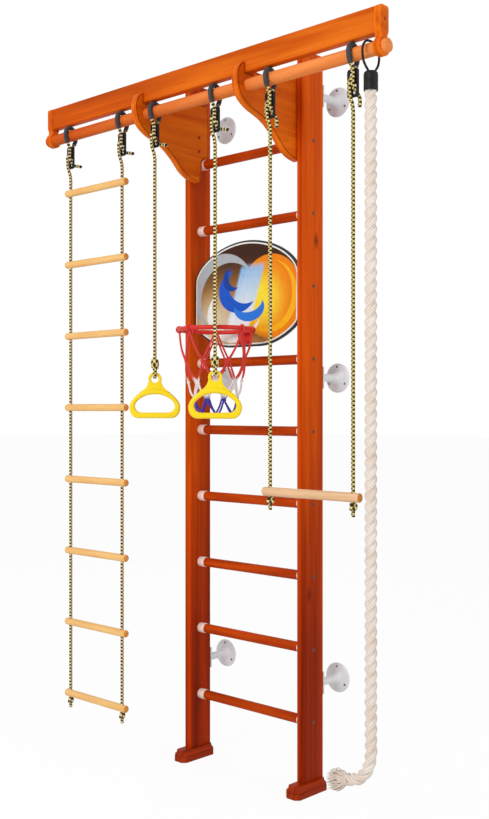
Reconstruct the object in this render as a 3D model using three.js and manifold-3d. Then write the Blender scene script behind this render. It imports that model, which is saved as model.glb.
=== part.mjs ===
// Swedish wall bars with a pull-up bar, rope ladder, rings, trapeze, climbing rope and hoop.
// Millimetres, +Z up. The origin lies on the wall plane at floor level, midway between the rails.
// The wall is the plane y = 0 and the front of the wall bars faces -Y.
import * as THREE from 'three';
import * as BufferGeometryUtils from 'three/addons/utils/BufferGeometryUtils.js';
import Module from 'manifold-3d';

const wasm = await Module();
wasm.setup();

// Clearances
const fitGap = 0.3; // between pieces that rest on or pass through each other
const swingGap = 1; // between the bar and a loop that swings on it, wide enough for the facets of both

// Rails
const railWidth = 30;
const railDepth = 106;
const railTop = 2440;
const railRound = 8;
const clearWidth = 504; // between the rails' inner faces
const wallStandoff = 95; // from the wall to the rails' back faces

// Feet
const footHeight = 40;
const plinthHeight = 24;
const footSide = 16; // how far the plinth stands out at each side of the rail
const footFront = 46;
const footBack = 10;
const footRound = 14;
const footStep = 8; // set-back of the slope above the plinth
const socketFloor = 12;

// Rungs
const rungCount = 10;
const firstRung = 232;
const topRungDrop = 48; // from the rails' tops to the highest rung
const rungDiameter = 33;
const tenonLength = 20;
const cuffDiameter = 36;
const cuffLength = 30;

// Bar, beam and end blocks
const barReach = 227; // from the rails' front faces to the bar's axis
const barDrop = 160; // from the rails' tops to the bar's axis
const barDiameter = 40;
const barOverhang = 14; // past the end blocks
const beamRoom = 1; // between the rope sleeves on the bar and the beam
const beamHeight = 78;
const beamThickness = 30;
const beamRound = 4;
const blockThickness = 25;
const blockDepth = 40;
const blockRound = 9;
const blockWaist = 30;
const lobeWall = 7; // around the bar

// Brackets
const bracketThickness = 25;
const bracketBevel = 4;
const hookReach = 53; // in front of the bar's axis
const hookRise = 34; // of the hook's tip above the beam's underside
const lipRise = 20; // of the lip behind the beam
const lipThickness = 12;
const bracketDrop = 198; // from the bar's axis to the bracket's lower tip
const bracketLap = 68; // over the rail's inner face
const bracketRise = 85; // of the bracket's upper edge at the rail, above the bar's axis
const hookRound = 6; // at the tips of hook and lip
const hookShoulder = 13;
const hookBelly = [[14, 34], [50, 64]]; // behind the hook's front, under the bar's axis
const ogee = [[0.34, 0.48], [0.56, 0.66], [0.73, 0.85], [0.9, 0.96]]; // share of the reach, of the drop
const bracketToe = 14; // from the rail's front face to the lower tip
const bracketHeel = 32; // from the rail's front face to the edge above the tip

// Wall mounts
const lowMount = 352;
const middleMount = 1372;
const topMountDrop = 128; // from the rails' tops
const flangeDiameter = 100;
const flangeThickness = 6;
const flareLength = 26;
const mountTube = 26;
const mountPlateHeight = 74;
const mountPlateWidth = 26;
const mountPlateThickness = 6;
const mountPlateRound = 3;

// Rope hangers
const ropeDiameter = 11.5;
const sleeveWall = 1;
const sleeveRoom = 1; // between the rope and its sleeve, wide enough for the facets of both
const plateThickness = 6;
const plateWidth = 40;
const plateTopDrop = 40; // under the bar's axis
const plateHeight = 82;
const plateRound = 8;
const threadOffset = 6.5; // of each rope strand from the plate's middle
const slotRoom = 1.6; // across a slot, beyond the rope
const slotLength = 29;
const upperSlotDrop = 66;
const lowerSlotDrop = 99;

// Rope ladder
const ladderInset = 79; // from the left rail's outer face to the nearer rope
const ladderSpacing = 295;
const ladderRungCount = 8;
const ladderRungDiameter = 26;
const ladderRungOverhang = 23;
const ladderFirstDrop = 213;
const ladderPitch = 265;
const ladderKnot = 24;
const ladderTail = 52;

// Rings
const leftRingInset = 39; // from the left bracket to the left ring's rope
const rightRingPlace = 103;
const ringTurn = 43; // degrees about the rope
const ringDrop = 911; // from the bar's axis to the handle's eye
const ringWidth = 180;
const ringEyeDiameter = 26;
const ringBossDiameter = 46;
const ringPlate = 12;
const ringGrip = 20;
const ringGripDepth = 24;
const ringDepth = 134; // from the eye to the underside of the grip
const ringShoulder = 32; // from the eye to the top of the grip's loop
const ringKnot = 30;
const ringKnotRise = 8; // of the knot above the boss
const webSpread = 30; // of the boss's web where it meets the grip
const webNeck = 8;

// Trapeze
const trapezeInset = 60; // from the right rail's outer face to the nearer rope
const trapezeSpacing = 320;
const trapezeOverhang = 26;
const trapezeDrop = 1267;
const trapezeDiameter = 28;
const trapezeKnot = 27;
const trapezeTail = 56;

// Climbing rope and its holder
const climbRopeDiameter = 36;
const climbGap = 19; // from the trapeze's end to the rope
const blockGap = 6; // from the rope to the end block
const holderRod = 7;
const holderSpread = 39; // of each leg of the loop from the rope's axis
const holderTopDrop = 60;
const holderLength = 56;
const holderWall = 2;
const holderSocket = 45;
const tuftLength = 66;
const tuftDiameter = 62;
const tuftNeck = 28;
const tuftBinding = 14; // of the bound neck inside the rope's end

// Backboard, hoop and net
const boardRung = 6; // counted from the lowest rung, which is 0
const boardGap = 3; // from the board's ends to the rails
const boardThickness = 12;
const boardDrop = 190; // from the rung that carries it to its lower edge
const boardRise = 178;
const boardBevel = 2;
const boardHookSpacing = 260;
const boardHookWidth = 22;
const boardHookWall = 5;
const hookWrap = 1.15; // half turns that the hook goes round the rung
const hoopDiameter = 244; // at the middle of the rod
const hoopRod = 15;
const hoopDrop = 139; // under the rung that carries the board
const hoopNeck = 8;
const hoopPlateWidth = 58;
const hoopPlateHeight = 62;
const hoopPlateThickness = 4;
const netStrands = 8;
const netCord = 7;
const netRowDrops = [0, 100, 165, 222, 275];
const netRowDiameters = [244, 206, 176, 152, 146];

// Facet counts
const rungSides = 10;
const barSides = 24;
const lobeSides = 16;
const mountSides = 12;
const ropeSides = 8;
const sleeveSides = 6;
const knotSides = 6;
const netSides = 3;
const climbRopeSides = 12;
const loopSteps = 6;
const hookSteps = 10;

// Places worked out from the sizes above
const rungPitch = (railTop - topRungDrop - firstRung) / (rungCount - 1);
const barHeight = railTop - barDrop;
const mountHeights = [lowMount, middleMount, railTop - topMountDrop];
const railX = clearWidth / 2 + railWidth / 2;
const railY = -(wallStandoff + railDepth / 2);
const railFrontY = railY - railDepth / 2;
const barY = railFrontY - barReach;
const rungHeights = Array.from({ length: rungCount }, (_, i) => firstRung + i * rungPitch);
const ladderRightX = -(clearWidth / 2 + railWidth + ladderInset);
const ladderLeftX = ladderRightX - ladderSpacing;
const leftRingX = -(clearWidth / 2 - bracketThickness - leftRingInset);
const trapezeLeftX = clearWidth / 2 + railWidth + trapezeInset;
const trapezeRightX = trapezeLeftX + trapezeSpacing;
const climbX = trapezeRightX + trapezeOverhang + climbGap + climbRopeDiameter / 2;
const blockX = climbX + climbRopeDiameter / 2 + blockGap + blockThickness / 2;
const threadLine = plateThickness / 2 + ropeDiameter / 2 + 2 * fitGap;
const slotWidth = ropeDiameter + slotRoom;
const sleeveBore = ropeDiameter / 2 + sleeveRoom;
const sleeveRadius = sleeveBore + sleeveWall;
const loopRadius = barDiameter / 2 + swingGap + sleeveRadius;
const beamLow = loopRadius + sleeveRadius + beamRoom;

// Finishes
const finish = (color, roughness) => new THREE.MeshStandardMaterial({ color, roughness });
const stainedWood = finish(0xc9510f, 0.45);
const rungWood = finish(0xb8420f, 0.45);
const naturalWood = finish(0xf6c585, 0.6);
const paleWood = finish(0xe8be96, 0.6);
const whitePaint = finish(0xe8e8e8, 0.4);
const braidedRope = finish(0xb59a2c, 0.9);
const cottonRope = finish(0xf5e6da, 0.95);
const greySleeve = finish(0x4a4a4e, 0.7);
const blackPlastic = finish(0x151518, 0.5);
const yellowPlastic = finish(0xffdf10, 0.35);
const boardPrint = finish(0x6a3a1a, 0.5);
const redPaint = finish(0xd82a1c, 0.4);
const netTwine = finish(0xc83a3a, 0.9);

// A closed geometry as a solid, with its shared vertices merged and its faces pointing out.
function solid(geometry) {
  const bare = geometry.clone();
  for (const name of Object.keys(bare.attributes)) {
    if (name !== 'position') bare.deleteAttribute(name);
  }
  const merged = BufferGeometryUtils.mergeVertices(bare, 1e-4);
  const index = merged.index.array;
  const place = merged.attributes.position;
  const corner = [new THREE.Vector3(), new THREE.Vector3(), new THREE.Vector3()];
  const faces = [];
  let volume = 0;
  for (let i = 0; i < index.length; i += 3) {
    const [a, b, c] = [index[i], index[i + 1], index[i + 2]];
    if (a === b || b === c || c === a) continue;
    faces.push([a, b, c]);
    [a, b, c].forEach((vertex, k) => corner[k].fromBufferAttribute(place, vertex));
    volume += corner[0].dot(corner[1].cross(corner[2]));
  }
  const outward = volume > 0 ? faces : faces.map(([a, b, c]) => [a, c, b]);
  return new wasm.Manifold(
    new wasm.Mesh({
      numProp: 3,
      vertProperties: new Float32Array(place.array),
      triVerts: new Uint32Array(outward.flat()),
    }),
  );
}

// A named mesh made from a solid.
function piece(name, body, material) {
  const { vertProperties, triVerts, numProp } = body.getMesh();
  const place = new Float32Array((vertProperties.length / numProp) * 3);
  for (let i = 0; i < place.length / 3; i += 1) {
    for (let k = 0; k < 3; k += 1) place[3 * i + k] = vertProperties[numProp * i + k];
  }
  const geometry = new THREE.BufferGeometry();
  geometry.setAttribute('position', new THREE.BufferAttribute(place, 3));
  geometry.setIndex(Array.from(triVerts));
  geometry.computeVertexNormals();
  const mesh = new THREE.Mesh(geometry, material);
  mesh.name = name;
  return mesh;
}

// Extrusions drawn in the plane they are seen in: (y, z) pushed along X, or (x, z) pushed along Y.
const sideways = new THREE.Matrix4().makeBasis(
  new THREE.Vector3(0, 1, 0),
  new THREE.Vector3(0, 0, 1),
  new THREE.Vector3(1, 0, 0),
);

function bevelled(shape, depth, { bevel = 0, inset = bevel, curveSegments = 2, bevelSegments = 1 } = {}) {
  const geometry = new THREE.ExtrudeGeometry(shape, {
    depth: depth - 2 * bevel,
    curveSegments,
    bevelEnabled: bevel > 0,
    bevelThickness: bevel,
    bevelSize: inset,
    bevelOffset: -inset,
    bevelSegments,
  });
  return geometry.translate(0, 0, bevel - depth / 2);
}

const alongX = (shape, depth, edges) => bevelled(shape, depth, edges).applyMatrix4(sideways);
const alongY = (shape, depth, edges) => bevelled(shape, depth, edges).rotateX(Math.PI / 2);

function upright(shape, low, high, curveSegments = 1) {
  const options = { depth: high - low, curveSegments, bevelEnabled: false };
  return new THREE.ExtrudeGeometry(shape, options).translate(0, 0, low);
}

// A turned piece: its profile is a list of [radius, place along the axis].
function turned(profile, sides) {
  return new THREE.LatheGeometry(profile.map(([r, t]) => new THREE.Vector2(r, t)), sides);
}

const turnedX = (profile, sides) => turned(profile, sides).rotateZ(-Math.PI / 2);
const turnedZ = (profile, sides) => turned(profile, sides).rotateX(Math.PI / 2);
const rodProfile = (radius, low, high) => [[0, low], [radius, low], [radius, high], [0, high]];

// The radius of a many-sided hole that clears a rod of the given radius however the two are turned.
const holeRadius = (radius, sides) => (radius + fitGap) / Math.cos(Math.PI / sides);

function roundedRectangle(x0, y0, x1, y1, r) {
  const shape = new THREE.Shape();
  shape.moveTo(x0 + r, y0);
  shape.lineTo(x1 - r, y0);
  shape.absarc(x1 - r, y0 + r, r, -Math.PI / 2, 0);
  shape.lineTo(x1, y1 - r);
  shape.absarc(x1 - r, y1 - r, r, 0, Math.PI / 2);
  shape.lineTo(x0 + r, y1);
  shape.absarc(x0 + r, y1 - r, r, Math.PI / 2, Math.PI);
  shape.lineTo(x0, y0 + r);
  shape.absarc(x0 + r, y0 + r, r, Math.PI, 1.5 * Math.PI);
  return shape;
}

function polygon(radius, sides) {
  return Array.from({ length: sides }, (_, i) => {
    const angle = (2 * Math.PI * (i + 0.5)) / sides;
    return new THREE.Vector2(radius * Math.cos(angle), radius * Math.sin(angle));
  });
}

// A smooth route through chosen points, with one step from each point to the next.
class Route extends THREE.CatmullRomCurve3 {
  getPointAt(u, target) {
    return this.getPoint(u, target);
  }

  getTangentAt(u, target) {
    return this.getTangent(u, target);
  }
}

function swept(points, outer, sides, inner = 0) {
  const section = new THREE.Shape(polygon(outer, sides));
  if (inner > 0) section.holes.push(new THREE.Path(polygon(inner, sides).reverse()));
  const route = new Route(points.map(([x, y, z]) => new THREE.Vector3(x, y, z)));
  const options = { steps: points.length - 1, extrudePath: route, bevelEnabled: false };
  return new THREE.ExtrudeGeometry(section, options);
}

// A knot: a short barrel about the rope, at a height along Z.
function knot(diameter, height, middle) {
  const r = diameter / 2;
  const profile = [[0, -0.5], [r, -0.24], [r, 0.24], [0, 0.5]];
  return solid(turnedZ(profile.map(([radius, t]) => [radius, middle + t * height]), knotSides));
}

// Rails, feet and rungs
function rail(name, side) {
  const section = roundedRectangle(-railWidth / 2, -railDepth / 2, railWidth / 2, railDepth / 2, railRound);
  let body = solid(upright(section, socketFloor + fitGap, railTop));
  const innerFace = (-side * railWidth) / 2;
  const bore = rungDiameter / 2 + fitGap;
  for (const height of rungHeights) {
    const deep = innerFace + side * (tenonLength + fitGap);
    const open = innerFace - side * railWidth;
    const ends = [Math.min(deep, open), Math.max(deep, open)];
    const drill = turnedX(rodProfile(bore, ...ends), rungSides).translate(0, 0, height);
    body = body.subtract(solid(drill));
  }
  const mesh = piece(name, body, stainedWood);
  mesh.position.set(side * railX, railY, 0);
  return mesh;
}

function foot(name, side) {
  const outline = (inset) =>
    roundedRectangle(
      -railWidth / 2 - footSide + inset,
      -railDepth / 2 - footFront + inset,
      railWidth / 2 + footSide - inset,
      railDepth / 2 + footBack - inset,
      footRound - inset,
    );
  const plinth = solid(upright(outline(0), 0, plinthHeight));
  const slope = footHeight - plinthHeight;
  const cap = bevelled(outline(0), 2 * slope + 2, { bevel: slope, inset: footStep, curveSegments: 1 });
  const moulding = solid(cap.translate(0, 0, plinthHeight - 1));
  const socket = roundedRectangle(
    -railWidth / 2 - fitGap,
    -railDepth / 2 - fitGap,
    railWidth / 2 + fitGap,
    railDepth / 2 + fitGap,
    railRound,
  );
  const body = plinth.add(moulding).subtract(solid(upright(socket, socketFloor, 2 * footHeight)));
  const mesh = piece(name, body, stainedWood);
  mesh.position.set(side * railX, railY, 0);
  return mesh;
}

function rung(name, height) {
  const r = rungDiameter / 2;
  const cuff = cuffDiameter / 2;
  const face = clearWidth / 2 - fitGap;
  const inner = face - cuffLength;
  const end = clearWidth / 2 + tenonLength;
  const half = [[r, inner], [cuff, inner], [cuff, face], [r, face], [r, end], [0, end]];
  const mirrored = half.map(([radius, t]) => [radius, -t]).reverse();
  const mesh = piece(name, solid(turnedX([...mirrored, ...half], rungSides)), rungWood);
  mesh.position.set(0, railY, height);
  return mesh;
}

// Bar, beam, end blocks and brackets, drawn about the bar's axis
function beam() {
  const half = beamThickness / 2;
  const section = roundedRectangle(-half, beamLow, half, beamLow + beamHeight, beamRound);
  const length = 2 * (blockX - blockThickness / 2 - fitGap);
  return piece('beam', solid(alongX(section, length)), stainedWood);
}

function pullUpBar() {
  const end = blockX + blockThickness / 2 + barOverhang;
  return piece('pull_up_bar', solid(turnedX(rodProfile(barDiameter / 2, -end, end), barSides)), stainedWood);
}

function barHole(thickness) {
  return solid(turnedX(rodProfile(barDiameter / 2 + fitGap, -thickness, thickness), barSides));
}

function endBlock(name, side) {
  const half = blockDepth / 2;
  const top = beamLow + beamHeight;
  const head = roundedRectangle(-half, beamLow - fitGap, half, top, blockRound);
  const lobe = barDiameter / 2 + lobeWall;
  const halfThick = blockThickness / 2;
  const neck = roundedRectangle(-blockWaist / 2, 0, blockWaist / 2, top - blockRound, 1);
  const body = solid(alongX(head, blockThickness))
    .add(solid(alongX(neck, blockThickness)))
    .add(solid(turnedX(rodProfile(lobe, -halfThick, halfThick), lobeSides)))
    .subtract(barHole(blockThickness));
  const mesh = piece(name, body, stainedWood);
  mesh.position.x = side * blockX;
  return mesh;
}

function bracket(name, side) {
  const notch = beamThickness / 2 + fitGap;
  const floor = beamLow - fitGap;
  const tip = beamLow + hookRise;
  const lip = beamLow + lipRise;
  const back = barReach + bracketLap;
  const shape = new THREE.Shape();
  shape.moveTo(-notch, floor);
  shape.lineTo(-notch, tip - hookRound);
  shape.splineThru([
    new THREE.Vector2(-notch - hookRound, tip),
    new THREE.Vector2(-hookReach + hookShoulder, tip - hookShoulder),
    new THREE.Vector2(-hookReach, beamLow - hookShoulder),
    ...hookBelly.map(([behind, drop]) => new THREE.Vector2(-hookReach + behind, -drop)),
    ...ogee.map(([reach, drop]) => new THREE.Vector2(reach * barReach, -drop * bracketDrop)),
    new THREE.Vector2(barReach + bracketToe, -bracketDrop),
  ]);
  shape.lineTo(barReach + bracketHeel - hookRound, -bracketDrop + bracketToe);
  shape.lineTo(barReach + bracketHeel, -0.6 * bracketDrop);
  shape.lineTo(back, -0.5 * bracketDrop);
  shape.lineTo(back, bracketRise);
  shape.lineTo(barReach - bracketToe, bracketRise);
  shape.quadraticCurveTo(barReach / 2, lip - lipRise, notch + lipThickness, lip - hookRound);
  shape.quadraticCurveTo(notch + lipThickness / 2, lip + hookRound, notch, lip - hookRound);
  shape.lineTo(notch, floor);
  const slab = solid(alongX(shape, bracketThickness, { bevel: bracketBevel }));
  let body = slab.subtract(barHole(bracketThickness));
  for (const height of rungHeights) {
    const clear = rodProfile(cuffDiameter / 2 + 6 * fitGap, -bracketThickness, bracketThickness);
    const cut = turnedX(clear, rungSides).translate(0, railY - barY, height - barHeight);
    body = body.subtract(solid(cut));
  }
  const mesh = piece(name, body, stainedWood);
  mesh.position.x = side * (clearWidth / 2 - fitGap - bracketThickness / 2);
  return mesh;
}

// Wall mounts: plate on the rail's back, tube, flared flange on the wall
function wallMount(name, side, height) {
  const tube = mountTube / 2;
  const rim = flangeDiameter / 2;
  const start = -wallStandoff + fitGap;
  const flare = -flangeThickness - flareLength;
  const profile = [
    [0, start],
    [tube, start],
    [tube, flare],
    [1.3 * tube, flare + 0.6 * flareLength],
    [2 * tube, -flangeThickness],
    [rim, -flangeThickness / 2],
    [rim, 0],
    [0, 0],
  ];
  const flange = turned(profile, mountSides);
  const plate = roundedRectangle(
    -mountPlateWidth / 2,
    -mountPlateHeight / 2,
    mountPlateWidth / 2,
    mountPlateHeight / 2,
    mountPlateRound,
  );
  const slab = alongY(plate, mountPlateThickness, { curveSegments: 1 });
  const body = solid(flange).add(solid(slab.translate(0, start + mountPlateThickness / 2, 0)));
  const mesh = piece(name, body, whitePaint);
  mesh.position.set(side * railX, 0, height);
  return mesh;
}

// Rope hangers: the rope goes over the bar in a sleeve and is threaded through the adjuster's two slots.
// The route starts at the rope's loose tail and ends where the rope hangs straight under the bar.
const loopArc = Array.from({ length: loopSteps + 1 }, (_, i) => {
  const angle = (Math.PI * i) / loopSteps;
  const across = threadOffset * (1 - (2 * i) / loopSteps);
  return [across, -loopRadius * Math.cos(angle), loopRadius * Math.sin(angle)];
});
const tailLine = threadLine + 2.4; // of the loose tail behind the plate
const neckLine = threadLine + 2.8; // where the strands part above the plate
const sideTail = [
  [46, tailLine, -lowerSlotDrop - 20],
  [31, tailLine, -lowerSlotDrop - 16],
  [18, tailLine - 0.6, -lowerSlotDrop - 13],
];
const hangingTail = [
  [15.5, tailLine - 1, -lowerSlotDrop - 50],
  [15.5, tailLine, -lowerSlotDrop - 34],
  [13, tailLine - 0.6, -lowerSlotDrop - 20],
];
const loopEnds = [[0.68 * loopRadius, 0.72 * plateTopDrop], [0.92 * loopRadius, 0.35 * plateTopDrop]];
const frontThread = [
  [threadOffset + 1, threadLine, -lowerSlotDrop - 10],
  [threadOffset, 0, -lowerSlotDrop],
  [threadOffset, -threadLine, -lowerSlotDrop + 13],
  [threadOffset, -threadLine, -upperSlotDrop],
  [threadOffset, -threadLine, -plateTopDrop - 13],
  [threadOffset, -neckLine, -plateTopDrop - 2],
  ...loopEnds.map(([y, drop]) => [threadOffset, -y, -drop]),
];
const backThread = [
  ...loopEnds.map(([y, drop]) => [-threadOffset, y, -drop]).reverse(),
  [-threadOffset, neckLine, -plateTopDrop - 2],
  [-threadOffset, threadLine, -upperSlotDrop + 13],
  [-threadOffset, 0, -upperSlotDrop],
  [-threadOffset, -threadLine, -upperSlotDrop - 13],
  [-threadOffset, -threadLine, -lowerSlotDrop],
  [-0.8 * threadOffset, -threadLine, -lowerSlotDrop - 14],
  [-0.5 * threadOffset, 0.4 - threadLine, -lowerSlotDrop - 24],
  [0, -0.7 * threadLine, -lowerSlotDrop - 36],
  [0, -0.2 * threadLine, -lowerSlotDrop - 50],
  [0, 0, -lowerSlotDrop - 66],
];
const sleeveRoute = [...frontThread.slice(-2), ...loopArc, ...backThread.slice(0, 2)];

function hangerRope(tail, drop) {
  const route = [...tail, ...frontThread, ...loopArc, ...backThread, [0, 0, -drop]];
  return solid(swept(route, ropeDiameter / 2, ropeSides));
}

function sleeve(name) {
  return piece(name, solid(swept(sleeveRoute, sleeveRadius, sleeveSides, sleeveBore)), greySleeve);
}

function adjuster(name) {
  const half = plateWidth / 2;
  const low = -plateTopDrop - plateHeight;
  const shape = roundedRectangle(-half, low, half, -plateTopDrop, plateRound);
  const slots = [[-threadOffset, upperSlotDrop], [threadOffset, lowerSlotDrop]];
  for (const [middle, drop] of slots) {
    const r = slotWidth / 2;
    const reach = slotLength / 2;
    const slot = roundedRectangle(middle - r, -drop - reach, middle + r, -drop + reach, r);
    shape.holes.push(new THREE.Path(slot.getPoints(1).reverse()));
  }
  return piece(name, solid(alongY(shape, plateThickness, { curveSegments: 1 })), blackPlastic);
}

function hanger(label, x, rope) {
  const group = new THREE.Group();
  group.position.x = x;
  group.add(sleeve(`${label}_sleeve`), adjuster(`${label}_adjuster`));
  group.add(piece(`${label}_rope`, rope, braidedRope));
  return group;
}

// Rope ladder
const ladderDrops = Array.from({ length: ladderRungCount }, (_, i) => ladderFirstDrop + i * ladderPitch);

function ladderRope() {
  const last = ladderDrops[ladderRungCount - 1];
  const height = 0.9 * ladderKnot;
  const underside = -last - ladderRungDiameter / 2 - fitGap;
  return hangerRope(sideTail, last + ladderTail).add(knot(ladderKnot, height, underside - height / 2));
}

function drilledRod(radius, half, holes) {
  let body = solid(turnedX(rodProfile(radius, -half, half), rungSides));
  const bore = holeRadius(ropeDiameter / 2, ropeSides);
  for (const x of holes) {
    const drill = turnedZ(rodProfile(bore, -2 * radius, 2 * radius), ropeSides).translate(x, 0, 0);
    body = body.subtract(solid(drill));
  }
  return body;
}

function ladderRung(name, drop) {
  const half = ladderSpacing / 2;
  const body = drilledRod(ladderRungDiameter / 2, half + ladderRungOverhang, [-half, half]);
  const mesh = piece(name, body, naturalWood);
  mesh.position.set((ladderLeftX + ladderRightX) / 2, 0, -drop);
  return mesh;
}

// Rings: the handle is drawn about its eye, in the plane it is seen in
function ringHandle(name) {
  const half = ringWidth / 2;
  const wall = ringGrip;
  const top = -ringShoulder;
  const low = -ringDepth;
  const outline = (inset) => {
    const wide = half - inset;
    const base = low + inset;
    const crown = top - inset;
    const level = (share) => base + share * (crown - base);
    const shape = new THREE.Shape();
    shape.moveTo(-0.62 * wide, base);
    shape.lineTo(0.62 * wide, base);
    shape.bezierCurveTo(0.92 * wide, base, 1.06 * wide, level(0.34), 0.9 * wide, level(0.56));
    shape.bezierCurveTo(0.74 * wide, level(0.78), 0.44 * wide, crown, 0, crown);
    shape.bezierCurveTo(-0.44 * wide, crown, -0.74 * wide, level(0.78), -0.9 * wide, level(0.56));
    shape.bezierCurveTo(-1.06 * wide, level(0.34), -0.92 * wide, base, -0.62 * wide, base);
    return shape;
  };
  const ringEdges = {
    bevel: 0.45 * ringGripDepth,
    inset: 0.28 * ringGrip,
    curveSegments: 4,
    bevelSegments: 2,
  };
  const loop = outline(0);
  loop.holes.push(new THREE.Path(outline(wall).getPoints(4).reverse()));
  const grip = solid(alongY(loop, ringGripDepth, ringEdges));
  const boss = ringBossDiameter / 2;
  const web = new THREE.Shape();
  const webStart = 0.12 * Math.PI;
  const webLow = top - 0.9 * wall;
  web.absarc(0, 0, boss, -webStart, Math.PI + webStart);
  web.quadraticCurveTo(-boss, top - webNeck, -boss - webSpread, webLow);
  web.lineTo(boss + webSpread, webLow);
  web.quadraticCurveTo(boss, top - webNeck, boss * Math.cos(webStart), -boss * Math.sin(webStart));
  const eye = turned(rodProfile(ringEyeDiameter / 2, -ringGripDepth, ringGripDepth), lobeSides);
  const opening = solid(alongY(outline(wall), 3 * ringGripDepth, { curveSegments: 4 }));
  const body = grip
    .add(solid(alongY(web, ringPlate, { curveSegments: 6 })))
    .subtract(solid(eye))
    .subtract(opening);
  return piece(name, body, yellowPlastic);
}

function ringRope() {
  const knotHeight = 1.35 * ringKnot;
  const knotLow = ringBossDiameter / 2 + ringKnotRise;
  const side = ringPlate / 2 + ropeDiameter / 2 + 2 * fitGap;
  const bend = ringEyeDiameter / 2 - ropeDiameter / 2 - 2 * fitGap;
  const turn = THREE.MathUtils.degToRad(ringTurn);
  const half = [
    [0, 3, knotLow + 12],
    [0, side - 2, knotLow + 3],
    [0, side + 0.8, knotLow - 8],
    [0, side + 0.8, bend + 5.6],
    [0, 0.78 * side, bend - 0.1],
    [0, 0.4 * side, bend - 0.3],
  ];
  const eyeLoop = [...half, ...half.map(([x, y, z]) => [x, -y, z]).reverse()];
  const loop = solid(swept(eyeLoop, ropeDiameter / 2, ropeSides).rotateZ(turn).translate(0, 0, -ringDrop));
  return hangerRope(sideTail, ringDrop - knotLow - knotHeight / 2)
    .add(knot(ringKnot, knotHeight, -ringDrop + knotLow + knotHeight / 2))
    .add(loop);
}

function ring(label, x) {
  const group = hanger(`ring_${label}`, x, ringRope());
  const handle = ringHandle(`ring_${label}_handle`);
  handle.position.z = -ringDrop;
  handle.rotation.z = THREE.MathUtils.degToRad(ringTurn);
  group.add(handle);
  return group;
}

// Trapeze
function trapezeRope() {
  const height = 0.9 * trapezeKnot;
  const middle = -trapezeDrop - trapezeDiameter / 2 - fitGap - height / 2;
  return hangerRope(hangingTail, trapezeDrop + trapezeTail).add(knot(trapezeKnot, height, middle));
}

function trapezeBar() {
  const half = trapezeSpacing / 2;
  const body = drilledRod(trapezeDiameter / 2, half + trapezeOverhang, [-half, half]);
  const mesh = piece('trapeze_bar', body, paleWood);
  mesh.position.set((trapezeLeftX + trapezeRightX) / 2, 0, -trapezeDrop);
  return mesh;
}

// Climbing rope: a rod loop over the bar, with a socket that holds the rope's upper end
const socketBore = holeRadius(climbRopeDiameter / 2, lobeSides);

function ropeHolder() {
  const rise = barDiameter / 2 + 2 * fitGap + holderRod / 2;
  const half = [
    [0, 0.26 * holderSpread, -holderTopDrop - holderRod],
    [0, 0.33 * holderSpread, -holderTopDrop],
    [0, 0.62 * holderSpread, -0.84 * holderTopDrop],
    [0, 0.89 * holderSpread, -0.6 * holderTopDrop],
    [0, holderSpread, -0.3 * holderTopDrop],
    [0, 0.97 * holderSpread, 0],
    [0, 0.8 * holderSpread, 0.5 * rise],
    [0, 0.54 * holderSpread, 0.86 * rise],
    [0, 0.27 * holderSpread, rise - 0.5],
  ];
  const mirrored = half.map(([x, y, z]) => [x, -y, z]).reverse();
  const rod = solid(swept([...half, [0, 0, rise], ...mirrored], holderRod / 2, ropeSides));
  const outer = socketBore + holderWall;
  const low = -holderTopDrop - holderLength;
  const socket = turnedZ(
    [
      [0, -holderTopDrop],
      [0.75 * outer, -holderTopDrop],
      [outer, -holderTopDrop - holderRod],
      [outer, low],
      [socketBore, low],
      [socketBore, low + holderSocket],
      [0, low + holderSocket],
    ],
    lobeSides,
  );
  return piece('climbing_rope_holder', rod.add(solid(socket)), blackPlastic);
}

// The rope hangs straight and its bound, frayed end keeps a slight set towards the wall bars.
const climbEnd = [
  [0, 0, -1950],
  [0, 0, -1990],
  [-12, 0, -2034],
  [-42, 0, -2066],
  [-80, 0, -2078],
];
const tuftTilt = THREE.MathUtils.degToRad(75);

function climbingRope() {
  const top = -holderTopDrop - holderLength + holderSocket - fitGap;
  const rope = solid(swept([[0, 0, top], ...climbEnd], climbRopeDiameter / 2, climbRopeSides));
  const neck = tuftNeck / 2;
  const flare = tuftDiameter / 2;
  const tuft = turnedZ(
    [
      [0, tuftBinding],
      [neck, tuftBinding],
      [neck, -tuftBinding / 2],
      [0.85 * flare, -0.45 * tuftLength],
      [flare, -0.8 * tuftLength],
      [0.7 * flare, -tuftLength],
      [0, -tuftLength],
    ],
    climbRopeSides,
  );
  const [x, y, z] = climbEnd[climbEnd.length - 1];
  return piece('climbing_rope', rope.add(solid(tuft.rotateY(tuftTilt).translate(x, y, z))), cottonRope);
}

// Backboard hung on a rung, hoop and net, drawn about the rung that carries the board
const boardBack = -(rungDiameter / 2 + 0.8 * boardHookWall);
const boardFront = boardBack - boardThickness;
const hoopY = boardFront - fitGap - hoopPlateThickness - hoopNeck - hoopRod / 2 - hoopDiameter / 2;

function boardOutline() {
  const half = clearWidth / 2 - boardGap;
  const shape = new THREE.Shape();
  shape.moveTo(-0.3 * half, -boardDrop);
  shape.lineTo(0.3 * half, -boardDrop);
  shape.bezierCurveTo(0.55 * half, -boardDrop, half, -0.72 * boardDrop, half, -0.52 * boardDrop);
  shape.lineTo(half, 0.24 * boardRise);
  shape.bezierCurveTo(half, 0.62 * boardRise, 0.5 * half, boardRise, 0, boardRise);
  shape.bezierCurveTo(-0.5 * half, boardRise, -half, 0.62 * boardRise, -half, 0.24 * boardRise);
  shape.lineTo(-half, -0.52 * boardDrop);
  shape.bezierCurveTo(-half, -0.72 * boardDrop, -0.55 * half, -boardDrop, -0.3 * half, -boardDrop);
  return shape;
}

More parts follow.
